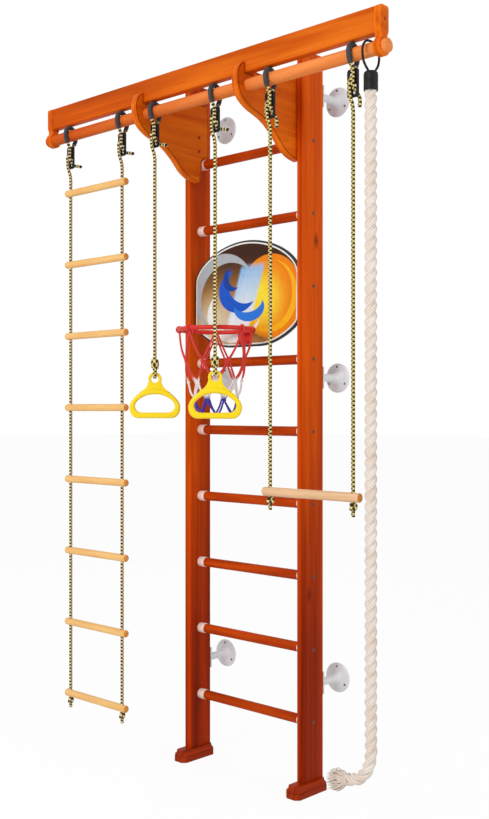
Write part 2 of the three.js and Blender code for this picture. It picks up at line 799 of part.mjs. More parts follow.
function boardHook(x) {
  const inner = rungDiameter / 2 + 2 * fitGap;
  const outer = inner + boardHookWall;
  const shape = new THREE.Shape();
  const angleAt = (i) => Math.PI * (1 - (hookWrap * i) / hookSteps);
  const spot = (r, i) => new THREE.Vector2(r * Math.cos(angleAt(i)), r * Math.sin(angleAt(i)));
  const counts = Array.from({ length: hookSteps + 1 }, (_, i) => i);
  const drop = boardHookWidth / 2;
  shape.setFromPoints([
    new THREE.Vector2(-outer, -drop),
    ...counts.map((i) => spot(outer, i)),
    ...counts.map((i) => spot(inner, hookSteps - i)),
    new THREE.Vector2(-inner, -drop),
  ]);
  return solid(alongX(shape, boardHookWidth).translate(x, 0, 0));
}

function backboard() {
  const slab = alongY(boardOutline(), boardThickness, { bevel: boardBevel, curveSegments: 6 });
  const body = solid(slab.translate(0, boardBack - boardThickness / 2, 0))
    .add(boardHook(-boardHookSpacing / 2))
    .add(boardHook(boardHookSpacing / 2));
  return piece('backboard', body, boardPrint);
}

function hoop() {
  const torus = new THREE.TorusGeometry(hoopDiameter / 2, hoopRod / 2, 7, 28);
  const plateY = boardFront - fitGap - hoopPlateThickness / 2;
  const plate = new THREE.BoxGeometry(hoopPlateWidth, hoopPlateThickness, hoopPlateHeight);
  const neckLength = hoopNeck + hoopPlateThickness + hoopRod / 2;
  const neck = new THREE.BoxGeometry(0.7 * hoopPlateWidth, neckLength, 0.8 * hoopRod);
  const body = solid(torus.translate(0, hoopY, 0))
    .add(solid(plate.translate(0, plateY, -0.2 * hoopPlateHeight)))
    .add(solid(neck.translate(0, boardFront - fitGap - neckLength / 2, 0)));
  const mesh = piece('hoop', body, redPaint);
  mesh.position.z = -hoopDrop;
  return mesh;
}

// The net: two sets of strands that lean opposite ways and cross at the knots of each row.
function net() {
  const top = -hoopRod / 2 - fitGap - 0.22 * netCord; // the ends of the strands lean
  const step = Math.PI / netStrands;
  let body = null;
  for (const lean of [1, -1]) {
    for (let i = 0; i < netStrands; i += 1) {
      const points = netRowDrops.map((drop, row) => {
        const angle = 2 * step * i + lean * step * row;
        const r = netRowDiameters[row] / 2;
        return [r * Math.cos(angle), r * Math.sin(angle), top - drop];
      });
      const strand = solid(swept(points, netCord / 2, netSides));
      body = body ? body.add(strand) : strand;
    }
  }
  const mesh = piece('net', body, netTwine);
  mesh.position.set(0, hoopY, -hoopDrop);
  return mesh;
}

// Assembly
const wallBars = new THREE.Group();
const sides = [['left', -1], ['right', 1]];
for (const [label, side] of sides) {
  wallBars.add(rail(`rail_${label}`, side), foot(`foot_${label}`, side));
  mountHeights.forEach((height, i) => wallBars.add(wallMount(`wall_mount_${label}_${i + 1}`, side, height)));
}
rungHeights.forEach((height, i) => wallBars.add(rung(`rung_${i + 1}`, height)));

const barSet = new THREE.Group();
barSet.position.set(0, barY, barHeight);
barSet.add(beam(), pullUpBar());
for (const [label, side] of sides) {
  barSet.add(endBlock(`end_block_${label}`, side), bracket(`bracket_${label}`, side));
}

barSet.add(hanger('ladder_left', ladderLeftX, ladderRope()));
barSet.add(hanger('ladder_right', ladderRightX, ladderRope()));
ladderDrops.forEach((drop, i) => barSet.add(ladderRung(`ladder_rung_${i + 1}`, drop)));

barSet.add(ring('left', leftRingX), ring('right', rightRingPlace));

barSet.add(hanger('trapeze_left', trapezeLeftX, trapezeRope()));
barSet.add(hanger('trapeze_right', trapezeRightX, trapezeRope()));
barSet.add(trapezeBar());

const climbingSet = new THREE.Group();
climbingSet.position.x = climbX;
climbingSet.add(ropeHolder(), climbingRope());
barSet.add(climbingSet);

const hoopSet = new THREE.Group();
hoopSet.position.set(0, railY, rungHeights[boardRung]);
hoopSet.add(backboard(), hoop(), net());

const swedishWallBars = new THREE.Group();
swedishWallBars.add(wallBars, barSet, hoopSet);

export default swedishWallBars;
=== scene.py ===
import math

import bmesh
import bpy
import numpy as np
from mathutils.geometry import tessellate_polygon
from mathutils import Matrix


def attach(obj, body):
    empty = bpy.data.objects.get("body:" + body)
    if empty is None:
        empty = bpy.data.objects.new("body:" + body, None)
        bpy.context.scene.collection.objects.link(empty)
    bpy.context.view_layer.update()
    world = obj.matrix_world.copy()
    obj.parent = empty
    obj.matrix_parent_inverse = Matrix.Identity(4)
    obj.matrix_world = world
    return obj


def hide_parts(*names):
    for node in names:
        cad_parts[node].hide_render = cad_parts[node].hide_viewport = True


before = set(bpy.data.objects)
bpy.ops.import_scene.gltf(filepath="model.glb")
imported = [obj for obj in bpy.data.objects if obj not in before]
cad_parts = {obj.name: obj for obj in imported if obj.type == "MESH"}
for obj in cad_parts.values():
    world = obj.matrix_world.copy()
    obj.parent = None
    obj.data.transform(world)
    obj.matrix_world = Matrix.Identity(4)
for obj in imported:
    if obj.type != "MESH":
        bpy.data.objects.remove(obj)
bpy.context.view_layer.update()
scene = bpy.context.scene
print("frame loaded")

# camera at the photo's place, level, no shift
cameraSet = {"place": (2.533, -2.852, 1.265), "turn": 43.49, "lens": 46.77, "sensor": 36, "reach": 60}
cameraData = bpy.data.cameras.new("photoCamera")
cameraData.lens = cameraSet["lens"]
cameraData.sensor_width = cameraSet["sensor"]
cameraData.clip_end = cameraSet["reach"]
photoCamera = bpy.data.objects.new("photoCamera", cameraData)
photoCamera.location = cameraSet["place"]
photoCamera.rotation_euler = (math.radians(90), 0, math.radians(cameraSet["turn"]))
scene.collection.objects.link(photoCamera)
scene.camera = photoCamera
print("camera set")


# node helpers
def tone(text):  # a hex colour as the linear values that sockets take
    parts = [int(text[i:i + 2], 16) / 255 for i in (0, 2, 4)]
    return [c / 12.92 if c <= 0.04045 else ((c + 0.055) / 1.055) ** 2.4 for c in parts] + [1.0]


def addNode(tree, kind, values=None, **settings):
    made = tree.nodes.new(kind)
    for key, value in settings.items():
        setattr(made, key, value)
    for key, value in (values or {}).items():
        if isinstance(value, bpy.types.NodeSocket):
            tree.links.new(value, made.inputs[key])
        else:
            made.inputs[key].default_value = value
    return made


def mathNode(tree, operation, *values, clamp=False):
    made = addNode(tree, "ShaderNodeMath", dict(enumerate(values)), operation=operation)
    made.use_clamp = clamp
    return made.outputs[0]


def times(tree, a, b, clamp=False):
    return mathNode(tree, "MULTIPLY", a, b, clamp=clamp)


def plus(tree, a, b, clamp=False):
    return mathNode(tree, "ADD", a, b, clamp=clamp)


def minus(tree, a, b):
    return mathNode(tree, "SUBTRACT", a, b)


def sineOf(tree, value, rate):
    return mathNode(tree, "SINE", times(tree, value, rate))


def mixColour(tree, factor, a, b, blend="MIX"):
    made = addNode(tree, "ShaderNodeMix", {0: factor, 6: a, 7: b}, data_type="RGBA", blend_type=blend)
    return made.outputs[2]


def remap(tree, value, fromLow, fromHigh, toLow=0.0, toHigh=1.0, smooth=False):
    made = addNode(tree, "ShaderNodeMapRange", {0: value, 1: fromLow, 2: fromHigh, 3: toLow, 4: toHigh})
    made.interpolation_type = "SMOOTHSTEP" if smooth else "LINEAR"
    return made.outputs[0]


def newGroup(name, inputs, outputs):
    tree = bpy.data.node_groups.new(name, "ShaderNodeTree")
    for label, kind in inputs:
        tree.interface.new_socket(name=label, in_out="INPUT", socket_type="NodeSocket" + kind)
    for label, kind in outputs:
        tree.interface.new_socket(name=label, in_out="OUTPUT", socket_type="NodeSocket" + kind)
    return tree, tree.nodes.new("NodeGroupInput").outputs, tree.nodes.new("NodeGroupOutput").inputs


def placeGroup(tree, group, values):
    return addNode(tree, "ShaderNodeGroup", values, node_tree=group).outputs


def newMaterial(name, **sockets):
    made = bpy.data.materials.new(name)
    made.use_nodes = True
    tree = made.node_tree
    shader = tree.nodes["Principled BSDF"]
    for key, value in sockets.items():
        shader.inputs[key.replace("_", " ")].default_value = value
    return made, tree, shader


def objectPlace(tree, stretch=(1, 1, 1)):  # the piece's own place in metres, stretched
    place = addNode(tree, "ShaderNodeTexCoord").outputs["Object"]
    return addNode(tree, "ShaderNodeMapping", {"Vector": place, "Scale": stretch}).outputs[0]


def splitPlace(tree):  # X, Y and Z of that place
    return addNode(tree, "ShaderNodeSeparateXYZ", {0: objectPlace(tree)}).outputs


def layPlace(tree):  # way along a cord in metres, then share of its girth
    lay = addNode(tree, "ShaderNodeUVMap", uv_map="lay").outputs[0]
    return addNode(tree, "ShaderNodeSeparateXYZ", {0: lay}).outputs


def noiseAt(tree, place, scale, detail, **more):
    values = {"Vector": place, "Scale": scale, "Detail": detail, **more}
    return addNode(tree, "ShaderNodeTexNoise", values).outputs[0]


def dressShader(tree, shader, colour, rough, height, strength, distance):
    tree.links.new(colour, shader.inputs["Base Color"])
    if rough is not None:  # else the plain value stays
        tree.links.new(rough, shader.inputs["Roughness"])
    bump = addNode(tree, "ShaderNodeBump", {"Height": height, "Strength": strength, "Distance": distance})
    tree.links.new(bump.outputs[0], shader.inputs["Normal"])


# grain of wood: long streaks, growth rings and fine pores along the stretched axis
def makeWoodGrain():
    tree, given, out = newGroup(
        "woodGrain",
        [("Vector", "Vector"), ("Light", "Color"), ("Dark", "Color"), ("Figure", "Float"),
         ("Pores", "Float")],
        [("Color", "Color"), ("Roughness", "Float"), ("Height", "Float")],
    )
    broad = noiseAt(tree, given["Vector"], 0.8, 5.0, Roughness=0.55, Distortion=0.6)
    rings = addNode(tree, "ShaderNodeTexWave", {"Vector": given["Vector"], "Scale": 0.55, "Distortion": 6.0,
                                                "Detail": 4.0, "Detail Scale": 1.2}).outputs["Fac"]
    fine = noiseAt(tree, given["Vector"], 7.0, 4.0, Roughness=0.7)
    ringShare = times(tree, rings, 0.35)
    streak = plus(tree, times(tree, remap(tree, broad, 0.3, 0.7), 0.65), ringShare, clamp=True)
    stained = mixColour(tree, times(tree, streak, given["Figure"]), given["Light"], given["Dark"])
    poreMask = times(tree, remap(tree, fine, 0.56, 0.72), given["Pores"], clamp=True)
    deep = mixColour(tree, 1.0, given["Dark"], (0.55, 0.5, 0.48, 1), "MULTIPLY")
    tree.links.new(mixColour(tree, poreMask, stained, deep), out["Color"])
    tree.links.new(remap(tree, fine, 0.2, 0.8, 0.3, 0.48), out["Roughness"])
    tree.links.new(minus(tree, ringShare, poreMask), out["Height"])
    return tree


# braid of a cord: carriers that cross, dark flecks and painted shade in the hollows, laid out on the cord's
# own length and girth
def makeBraid():
    tree, given, out = newGroup(
        "braid",
        [("Along", "Float"), ("Around", "Float"), ("Pitch", "Float"), ("Bright", "Color"),
         ("Middle", "Color"), ("Deep", "Color")],
        [("Color", "Color"), ("Height", "Float")],
    )
    run = mathNode(tree, "DIVIDE", given["Along"], given["Pitch"])
    turns = times(tree, given["Around"], 4.0)
    right = plus(tree, run, turns)
    left = minus(tree, run, turns)
    crossing = plus(tree, mathNode(tree, "FLOOR", right), mathNode(tree, "FLOOR", left))
    parity = mathNode(tree, "FLOORED_MODULO", crossing, 2.0)
    half = times(tree, given["Around"], 2.0)
    fleckRight = sineOf(tree, plus(tree, run, half), math.pi / 2)
    fleckLeft = sineOf(tree, minus(tree, run, half), math.pi / 2)
    fleck = remap(tree, mathNode(tree, "ABSOLUTE", times(tree, fleckRight, fleckLeft)), 0.30, 0.38)
    dome = times(tree, sineOf(tree, mathNode(tree, "FRACT", right), math.pi),
                 sineOf(tree, mathNode(tree, "FRACT", left), math.pi))
    carriers = mixColour(tree, parity, given["Bright"], given["Middle"])
    woven = mixColour(tree, fleck, carriers, given["Deep"])
    # painted shade: the colour darkens where the carriers dip into the hollows between them
    shade = remap(tree, dome, 0.0, 0.35, 0.6, 1.0)
    hollowShade = mixColour(tree, 1.0, woven, (0.3, 0.28, 0.26, 1), "MULTIPLY")
    tree.links.new(mixColour(tree, shade, hollowShade, woven), out["Color"])
    tree.links.new(dome, out["Height"])
    return tree


# faint marks and unevenness of moulded or painted faces
def makeMouldMarks():
    tree, given, out = newGroup(
        "mouldMarks",
        [("Vector", "Vector"), ("Color", "Color"), ("Depth", "Float"), ("Gloss", "Float")],
        [("Color", "Color"), ("Roughness", "Float"), ("Height", "Float")],
    )
    cloudy = noiseAt(tree, given["Vector"], 9.0, 4.0)
    speck = noiseAt(tree, given["Vector"], 900.0, 2.0)
    darker = mixColour(tree, 1.0, given["Color"], (0.72, 0.7, 0.7, 1), "MULTIPLY")
    marked = times(tree, remap(tree, cloudy, 0.35, 0.75), given["Depth"])
    tree.links.new(mixColour(tree, marked, given["Color"], darker), out["Color"])
    tree.links.new(plus(tree, given["Gloss"], remap(tree, cloudy, 0.3, 0.7, -0.05, 0.08)), out["Roughness"])
    tree.links.new(speck, out["Height"])
    return tree


woodGrain = makeWoodGrain()
braid = makeBraid()
mouldMarks = makeMouldMarks()


# dark hearts of knots in the wood, drawn out along the rail
heartSet = {"drawOut": 0.45, "rings": 1700.0, "size": (0.003, 0.015), "depth": 0.85, "colour": "6a1c02"}


def woodMaterial(name, light, dark, stretch, figure, pores, coat=0.04, fade=None, knots=()):
    made, tree, shader = newMaterial(name, Coat_Weight=coat, Coat_Roughness=0.3, Specular_IOR_Level=0.04)
    lightTone, darkTone = tone(light), tone(dark)
    if fade:  # the colours run darker towards one end; on the rails this is painted shade towards the floor
        share = remap(tree, splitPlace(tree)[fade["axis"]], *fade["run"], smooth=True)
        lightTone = mixColour(tree, share, tone(fade["light"]), lightTone)
        darkTone = mixColour(tree, share, tone(fade["dark"]), darkTone)
    grain = placeGroup(tree, woodGrain, {"Vector": objectPlace(tree, stretch), "Light": lightTone,
                                         "Dark": darkTone, "Figure": figure, "Pores": pores})
    colour = grain["Color"]
    for x, y, z in knots:
        place = objectPlace(tree, (1, 1, heartSet["drawOut"]))
        away = addNode(tree, "ShaderNodeVectorMath", {0: place, 1: (x, y, heartSet["drawOut"] * z)},
                       operation="DISTANCE").outputs["Value"]
        ring = remap(tree, sineOf(tree, away, heartSet["rings"]), -1.0, 1.0, 0.75, 1.0)
        heart = times(tree, remap(tree, away, *heartSet["size"], heartSet["depth"], 0.0), ring)
        colour = mixColour(tree, heart, colour, tone(heartSet["colour"]))
    dressShader(tree, shader, colour, grain["Roughness"], grain["Height"], 0.25, 0.0006)
    return made


def mouldedMaterial(name, colour, gloss, depth, speckle=0.08, **sockets):
    made, tree, shader = newMaterial(name, **sockets)
    marks = placeGroup(tree, mouldMarks, {"Vector": objectPlace(tree), "Color": tone(colour), "Depth": depth,
                                          "Gloss": gloss})
    dressShader(tree, shader, marks["Color"], marks["Roughness"], marks["Height"], speckle, 0.0005)
    return made


def braidMaterial(name, bright, middle, deep, pitch):
    made, tree, shader = newMaterial(name, Sheen_Weight=0.15)
    lay = layPlace(tree)
    woven = placeGroup(tree, braid, {"Along": lay[0], "Around": lay[1], "Pitch": pitch,
                                     "Bright": tone(bright), "Middle": tone(middle), "Deep": tone(deep)})
    fuzz = noiseAt(tree, objectPlace(tree), 1400.0, 2.0)
    height = plus(tree, woven["Height"], times(tree, fuzz, 0.2))
    dressShader(tree, shader, woven["Color"], remap(tree, fuzz, 0.3, 0.7, 0.75, 0.95), height, 0.5, 0.0006)
    return made


# mesh helpers
def newPiece(name, verts, faces, material, body, slot, sharpAngle=40, lay=None):
    mesh = bpy.data.meshes.new(name)
    mesh.from_pydata([tuple(v) for v in verts], [], [tuple(f) for f in faces])
    if lay is not None:
        mesh.uv_layers.new(name="lay").data.foreach_set("uv", np.asarray(lay, np.float32).ravel())
    work = bmesh.new()
    work.from_mesh(mesh)
    bmesh.ops.recalc_face_normals(work, faces=work.faces)
    for edge in work.edges:
        edge.smooth = len(edge.link_faces) == 2 and edge.calc_face_angle(0) < math.radians(sharpAngle)
    for face in work.faces:
        face.smooth = True
    work.to_mesh(mesh)
    work.free()
    for one in material if isinstance(material, list) else [material]:
        mesh.materials.append(one)
    piece = bpy.data.objects.new(name, mesh)
    scene.collection.objects.link(piece)
    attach(piece, body)
    return piece


def joined(parts):  # several (verts, faces) as one
    verts, faces = [], []
    for some, others in parts:
        start = len(verts)
        verts += [tuple(v) for v in some]
        faces += [tuple(i + start for i in face) for face in others]
    return verts, faces


def shifted(part, move):
    return [tuple(np.add(v, move)) for v in part[0]], part[1]


def turnedAbout(part, angle):  # about Z
    c, s = math.cos(angle), math.sin(angle)
    return [(c * x - s * y, s * x + c * y, z) for x, y, z in part[0]], part[1]


def lathe(profile, axis, sides=32):  # profile: (radius, place along the axis)
    verts, faces = [], []
    for radius, t in profile:
        for j in range(sides):
            a = 2 * math.pi * j / sides
            u, v = radius * math.cos(a), radius * math.sin(a)
            verts.append({"x": (t, u, v), "y": (u, t, v), "z": (u, v, t)}[axis])
    for i in range(len(profile) - 1):
        for j in range(sides):
            k = (j + 1) % sides
            faces.append((i * sides + j, i * sides + k, (i + 1) * sides + k, (i + 1) * sides + j))
    if profile[0] != profile[-1]:
        faces.append(tuple(range(sides)))
        last = (len(profile) - 1) * sides
        faces.append(tuple(range(last, last + sides)))
    return verts, faces


def insetLine(outline, amount):  # moves a closed line to its left by that amount
    pts = np.asarray(outline, float)
    before = pts - np.roll(pts, 1, axis=0)
    after = np.roll(pts, -1, axis=0) - pts
    sides = []
    for run in (before, after):
        size = np.linalg.norm(run, axis=1, keepdims=True)
        sides.append(np.stack([-run[:, 1], run[:, 0]], axis=1) / np.maximum(size, 1e-9))
    along = 1 + np.sum(sides[0] * sides[1], axis=1, keepdims=True)
    return pts + amount * (sides[0] + sides[1]) / np.maximum(along, 0.5)


def roundedEdge(bevel, inset, steps):  # (inset, depth) pairs from a flat face to the side
    angles = [0.5 * math.pi * k / steps for k in range(steps + 1)]
    return [(inset * (1 - math.sin(a)), bevel * (1 - math.cos(a))) for a in angles]


# a flat body; its outer line runs counter-clockwise and its holes clockwise
def slab(outlines, depth, axis, bevel=0.0, inset=None, steps=4, edge=()):
    levels = list(edge) or [(0.0, 0.0)]
    if bevel:
        levels = roundedEdge(bevel, bevel if inset is None else inset, steps)
    rings = [(i, -depth / 2 + w) for i, w in levels] + [(i, depth / 2 - w) for i, w in reversed(levels)]
    verts, faces, caps = [], [], []
    place = {"x": lambda a, b, w: (w, a, b), "y": lambda a, b, w: (a, w, b),
             "z": lambda a, b, w: (a, b, w)}[axis]
    for outline in outlines:
        count, first = len(outline), len(verts)
        for amount, w in rings:
            verts += [place(a, b, w) for a, b in insetLine(outline, amount)]
        for r in range(len(rings) - 1):
            for j in range(count):
                k = (j + 1) % count
                low, high = first + r * count, first + (r + 1) * count
                faces.append((low + j, low + k, high + k, high + j))
        caps.append((first, count, first + (len(rings) - 1) * count))
    flat = [[(a, b, 0.0) for a, b in insetLine(outline, rings[0][0])] for outline in outlines]
    lookup = [(first + j, last + j) for first, count, last in caps for j in range(count)]
    for triangle in tessellate_polygon(flat):
        faces.append(tuple(lookup[i][0] for i in triangle))
        faces.append(tuple(lookup[i][1] for i in reversed(triangle)))
    return verts, faces


def loft(lines):  # closed body through flat outlines of equal count, each (outline, height)
    count = len(lines[0][0])
    verts = [(a, b, z) for outline, z in lines for a, b in outline]
    faces = [tuple(range(count)), tuple(range((len(lines) - 1) * count, len(lines) * count))]
    for i in range(len(lines) - 1):
        for j in range(count):
            k = (j + 1) % count
            faces.append((i * count + j, i * count + k, (i + 1) * count + k, (i + 1) * count + j))
    return verts, faces


def roundRectangle(x0, y0, x1, y1, r, steps=6):
    corners = [(x1 - r, y0 + r, -90), (x1 - r, y1 - r, 0), (x0 + r, y1 - r, 90), (x0 + r, y0 + r, 180)]
    line = []
    for cx, cy, start in corners:
        for k in range(steps + 1):
            a = math.radians(start + 90 * k / steps)
            line.append((cx + r * math.cos(a), cy + r * math.sin(a)))
    return line


def centredRectangle(wide, tall, r, steps=6):
    return roundRectangle(-wide / 2, -tall / 2, wide / 2, tall / 2, r, steps)


def arcLine(radius, first, last, count, middle=(0, 0)):  # from one angle to another, in degrees
    return [(middle[0] + radius * math.cos(a), middle[1] + radius * math.sin(a))
            for a in np.radians(np.linspace(first, last, count))]


def bezierLine(p0, p1, p2, p3, steps=10):  # leaves out its last point
    line = []
    for k in range(steps):
        t = k / steps
        line.append(tuple((1 - t) ** 3 * a + 3 * t * (1 - t) ** 2 * b + 3 * t * t * (1 - t) * c + t ** 3 * d
                          for a, b, c, d in zip(p0, p1, p2, p3)))
    return line


def smoothRoute(points, step=0.002):  # an even spline through chosen points
    pts = [np.asarray(p, float) for p in points]
    pts = [2 * pts[0] - pts[1]] + pts + [2 * pts[-1] - pts[-2]]
    route = []
    for p0, p1, p2, p3 in zip(pts, pts[1:], pts[2:], pts[3:]):
        t0, knots = 0.0, [0.0]
        for a, b in ((p0, p1), (p1, p2), (p2, p3)):
            t0 += max(np.linalg.norm(b - a), 1e-9) ** 0.5
            knots.append(t0)
        count = max(2, math.ceil(np.linalg.norm(p2 - p1) / step))
        for t in np.linspace(knots[1], knots[2], count, endpoint=False):
            def mid(a, b, ta, tb):
                return ((tb - t) * a + (t - ta) * b) / (tb - ta)
            a1, a2, a3 = mid(p0, p1, *knots[0:2]), mid(p1, p2, *knots[1:3]), mid(p2, p3, *knots[2:4])
            b1, b2 = mid(a1, a2, knots[0], knots[2]), mid(a2, a3, knots[1], knots[3])
            route.append(mid(b1, b2, knots[1], knots[2]))
    route.append(pts[-2])
    return np.array(route)


def sweep(route, girth, sides=12, closed=False):  # girth(run, angle) gives the radius; also gives the lay
    route = np.asarray(route, float)
    if closed:
        route = np.vstack([route, route[:1]])
    runs = np.concatenate([[0], np.cumsum(np.linalg.norm(np.diff(route, axis=0), axis=1))])
    tangent = np.gradient(route, axis=0)
    if closed:
        tangent[0] = tangent[-1] = route[1] - route[-2]
    tangent /= np.maximum(np.linalg.norm(tangent, axis=1, keepdims=True), 1e-12)
    side = np.cross(tangent[0], (0, 0, 1) if abs(tangent[0][2]) < 0.9 else (0, 1, 0))
    across = [side / np.linalg.norm(side)]
    for t in tangent[1:]:
        s = across[-1] - t * np.dot(across[-1], t)
        across.append(s / np.linalg.norm(s))
    across = np.array(across)
    upward = np.cross(tangent, across)
    if closed:  # spreads the frame's twist so that the ends meet
        twist = math.atan2(np.dot(across[-1], upward[0]), np.dot(across[-1], across[0]))
        spin = (-twist * runs / runs[-1])[:, None]
        across, upward = (np.cos(spin) * across + np.sin(spin) * upward,
                          -np.sin(spin) * across + np.cos(spin) * upward)
    angles = 2 * np.pi * np.arange(sides) / sides
    radius = girth(runs[:, None], angles[None, :]) * np.ones((len(route), sides))
    ring = route[:, None, :] + radius[:, :, None] * (np.cos(angles)[None, :, None] * across[:, None, :]
                                                     + np.sin(angles)[None, :, None] * upward[:, None, :])
    rows = len(route) - 1 if closed else len(route)
    verts = ring[:rows].reshape(-1, 3).tolist()
    faces, lay = [], []
    for i in range(len(route) - 1):
        n = (i + 1) % rows if closed else i + 1
        for j in range(sides):
            k = (j + 1) % sides
            faces.append((i * sides + j, i * sides + k, n * sides + k, n * sides + j))
            lay += [(runs[i], j / sides), (runs[i], (j + 1) / sides), (runs[i + 1], (j + 1) / sides),
                    (runs[i + 1], j / sides)]
    if not closed:
        for row, run in ((0, 0.0), (rows - 1, runs[-1])):
            faces.append(tuple(row * sides + j for j in range(sides)))
            lay += [(run, j / sides) for j in range(sides)]
    return verts, faces, lay


def evenGirth(radius):
    return lambda run, angle: radius


def joinedLays(parts):
    verts, faces = joined([(v, f) for v, f, lay in parts])
    return verts, faces, [spot for part in parts for spot in part[2]]


barPlace = {"y": -0.428, "z": 2.28}
bothSides = (("left", -1), ("right", 1))


def below(x, drop):  # a spot under the bar's middle line
    return x, barPlace["y"], barPlace["z"] - drop


def at(route, x, drop=0.0):  # a route drawn about the bar, in its place
    return np.asarray(route, float) + np.array(below(x, drop))


def onBar(part, x=0.0, drop=0.0):
    return shifted(part, below(x, drop))


def routeLength(route):
    return round(float(np.sum(np.linalg.norm(np.diff(route, axis=0), axis=1))), 3)


# braided cords of the hangers: over the bar, through the adjuster, then straight down
cordSet = {
    "thickness": 0.0115, "pitch": 0.0061, "relief": 0.05, "sides": 16, "loopRadius": 0.02875,
    "offset": 0.0065, "straightFrom": 0.2, "straightPoints": 12, "knotGap": 0.0003,
    "sideTail": [(0.046, 0.01175, -0.119), (0.031, 0.01175, -0.115), (0.018, 0.01115, -0.112)],
    "hangingTail": [(0.0155, 0.01075, -0.149), (0.0155, 0.01175, -0.133), (0.013, 0.01115, -0.119)],
    "frontThread": [(0.0075, 0.00935, -0.109), (0.0065, 0, -0.099), (0.0065, -0.00935, -0.086),
                    (0.0065, -0.00935, -0.066), (0.0065, -0.00935, -0.053), (0.0065, -0.01215, -0.042),
                    (0.0065, -0.0195, -0.0288), (0.0065, -0.0264, -0.014)],
    "backThread": [(-0.0065, 0.0264, -0.014), (-0.0065, 0.0195, -0.0288), (-0.0065, 0.01215, -0.042),
                   (-0.0065, 0.00935, -0.053), (-0.0065, 0, -0.066), (-0.0065, -0.00935, -0.079),
                   (-0.0065, -0.00935, -0.099), (-0.0052, -0.00935, -0.113), (-0.0033, -0.00895, -0.123),
                   (0, -0.0065, -0.135), (0, -0.0019, -0.149), (0, 0, -0.165)],
}
loopArc = [(cordSet["offset"] * (1 - i / 6), -cordSet["loopRadius"] * math.cos(math.pi * i / 12),
            cordSet["loopRadius"] * math.sin(math.pi * i / 12)) for i in range(13)]


def braidedGirth(run, angle):
    turns = 4 * angle / (2 * np.pi)
    crossings = run / cordSet["pitch"]
    dome = np.abs(np.sin(np.pi * (crossings + turns)) * np.sin(np.pi * (crossings - turns)))
    return cordSet["thickness"] / 2 * (1 - cordSet["relief"] + 2 * cordSet["relief"] * dome)


def hangerCord(label, x, tail, drop, material, body):
    levels = np.linspace(-cordSet["straightFrom"], -drop, cordSet["straightPoints"])
    points = cordSet[tail] + cordSet["frontThread"] + loopArc + cordSet["backThread"]
    route = at(smoothRoute(points + [(0, 0, z) for z in levels]), x)
    verts, faces, cover = sweep(route, braidedGirth, cordSet["sides"])
    piece = newPiece(label + "Cord", verts, faces, material, body, "braided_rope", 60, cover)
    print(label, "cord", routeLength(route), "m")
    return piece


knotRoom = 0.53 * cordSet["thickness"]  # from a knot's outside to the middle of its cord


def overhandKnot(place, width, height):
    t = np.linspace(0, 2 * np.pi, 90, endpoint=False)
    wide, tall = (width / 2 - knotRoom) / 3, height / 2 - knotRoom
    line = np.stack([wide * (np.sin(t) + 2 * np.sin(2 * t)), wide * (np.cos(t) - 2 * np.cos(2 * t)),
                     -tall * np.sin(3 * t)], axis=1)
    return sweep(line + np.array(place), braidedGirth, cordSet["sides"], closed=True)


def barrelKnot(place, width, height, turns):
    t = np.linspace(0, 1, 130)
    bulge = (width / 2 - knotRoom) * (0.8 + 0.2 * np.sin(np.pi * t))
    line = np.stack([bulge * np.cos(2 * np.pi * turns * t), bulge * np.sin(2 * np.pi * turns * t),
                     (t - 0.5) * (height - 2 * knotRoom)], axis=1)
    return sweep(line + np.array(place), braidedGirth, cordSet["sides"])


def endKnot(label, x, drop, width, height, material, body):  # close under a wooden rod
    place = below(x, drop + cordSet["knotGap"] + height / 2)
    verts, faces, cover = overhandKnot(place, width, height)
    return newPiece(label + "Knot", verts, faces, material, body, "braided_rope", 60, cover)


ladderBraid = braidMaterial("ladderBraid", "eacb62", "f4e0c4", "14110c", cordSet["pitch"])
ringBraid = braidMaterial("ringBraid", "f0cf3c", "f6edc0", "16130d", cordSet["pitch"])

# rope ladder cords
ladderSet = {"left": -0.656, "right": -0.361, "firstDrop": 0.213, "pitch": 0.265, "rungs": 8,
             "rungRadius": 0.013, "overhang": 0.023, "knot": 0.024, "tail": 0.052}
ladderDrops = [ladderSet["firstDrop"] + ladderSet["pitch"] * i for i in range(ladderSet["rungs"])]
for side in ("left", "right"):
    label, x = "ladder" + side.title(), ladderSet[side]
    knot = endKnot(label, x, ladderDrops[-1] + ladderSet["rungRadius"], ladderSet["knot"], ladderSet["knot"],
                   ladderBraid, "rope_ladder")
    cord = hangerCord(label, x, "sideTail", ladderDrops[-1] + ladderSet["tail"], ladderBraid, "rope_ladder")
    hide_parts("ladder_%s_rope" % side)

# ring cords, each with its knot and the loop through the handle's eye
ringSet = {"left": -0.188, "right": 0.103, "turn": 43, "drop": 0.911, "knot": 0.030, "knotLow": 0.031,
           "knotHeight": 0.0405, "knotTurns": 3.6,
           "eyeLoop": [(0.003, 0.043), (0.0104, 0.034), (0.0132, 0.023), (0.0132, 0.0123), (0.0096, 0.0066),
                       (0.0049, 0.0064)]}
ringTurn = math.radians(ringSet["turn"])
ringKnotDrop = ringSet["drop"] - ringSet["knotLow"] - ringSet["knotHeight"] / 2
half = [(-y * math.sin(ringTurn), y * math.cos(ringTurn), z) for y, z in ringSet["eyeLoop"]]
eyeLoop = smoothRoute(half + [(-x, -y, z) for x, y, z in reversed(half)])
for side in ("left", "right"):
    label, x, body = "ring" + side.title(), ringSet[side], "ring_" + side
    verts, faces, cover = joinedLays([
        barrelKnot(below(x, ringKnotDrop), ringSet["knot"], ringSet["knotHeight"], ringSet["knotTurns"]),
        sweep(at(eyeLoop, x, ringSet["drop"]), braidedGirth, cordSet["sides"])])
    knot = newPiece(label + "Knot", verts, faces, ringBraid, body, "braided_rope", 60, cover)
    cord = hangerCord(label, x, "sideTail", ringKnotDrop, ringBraid, body)
    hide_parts("ring_%s_rope" % side)

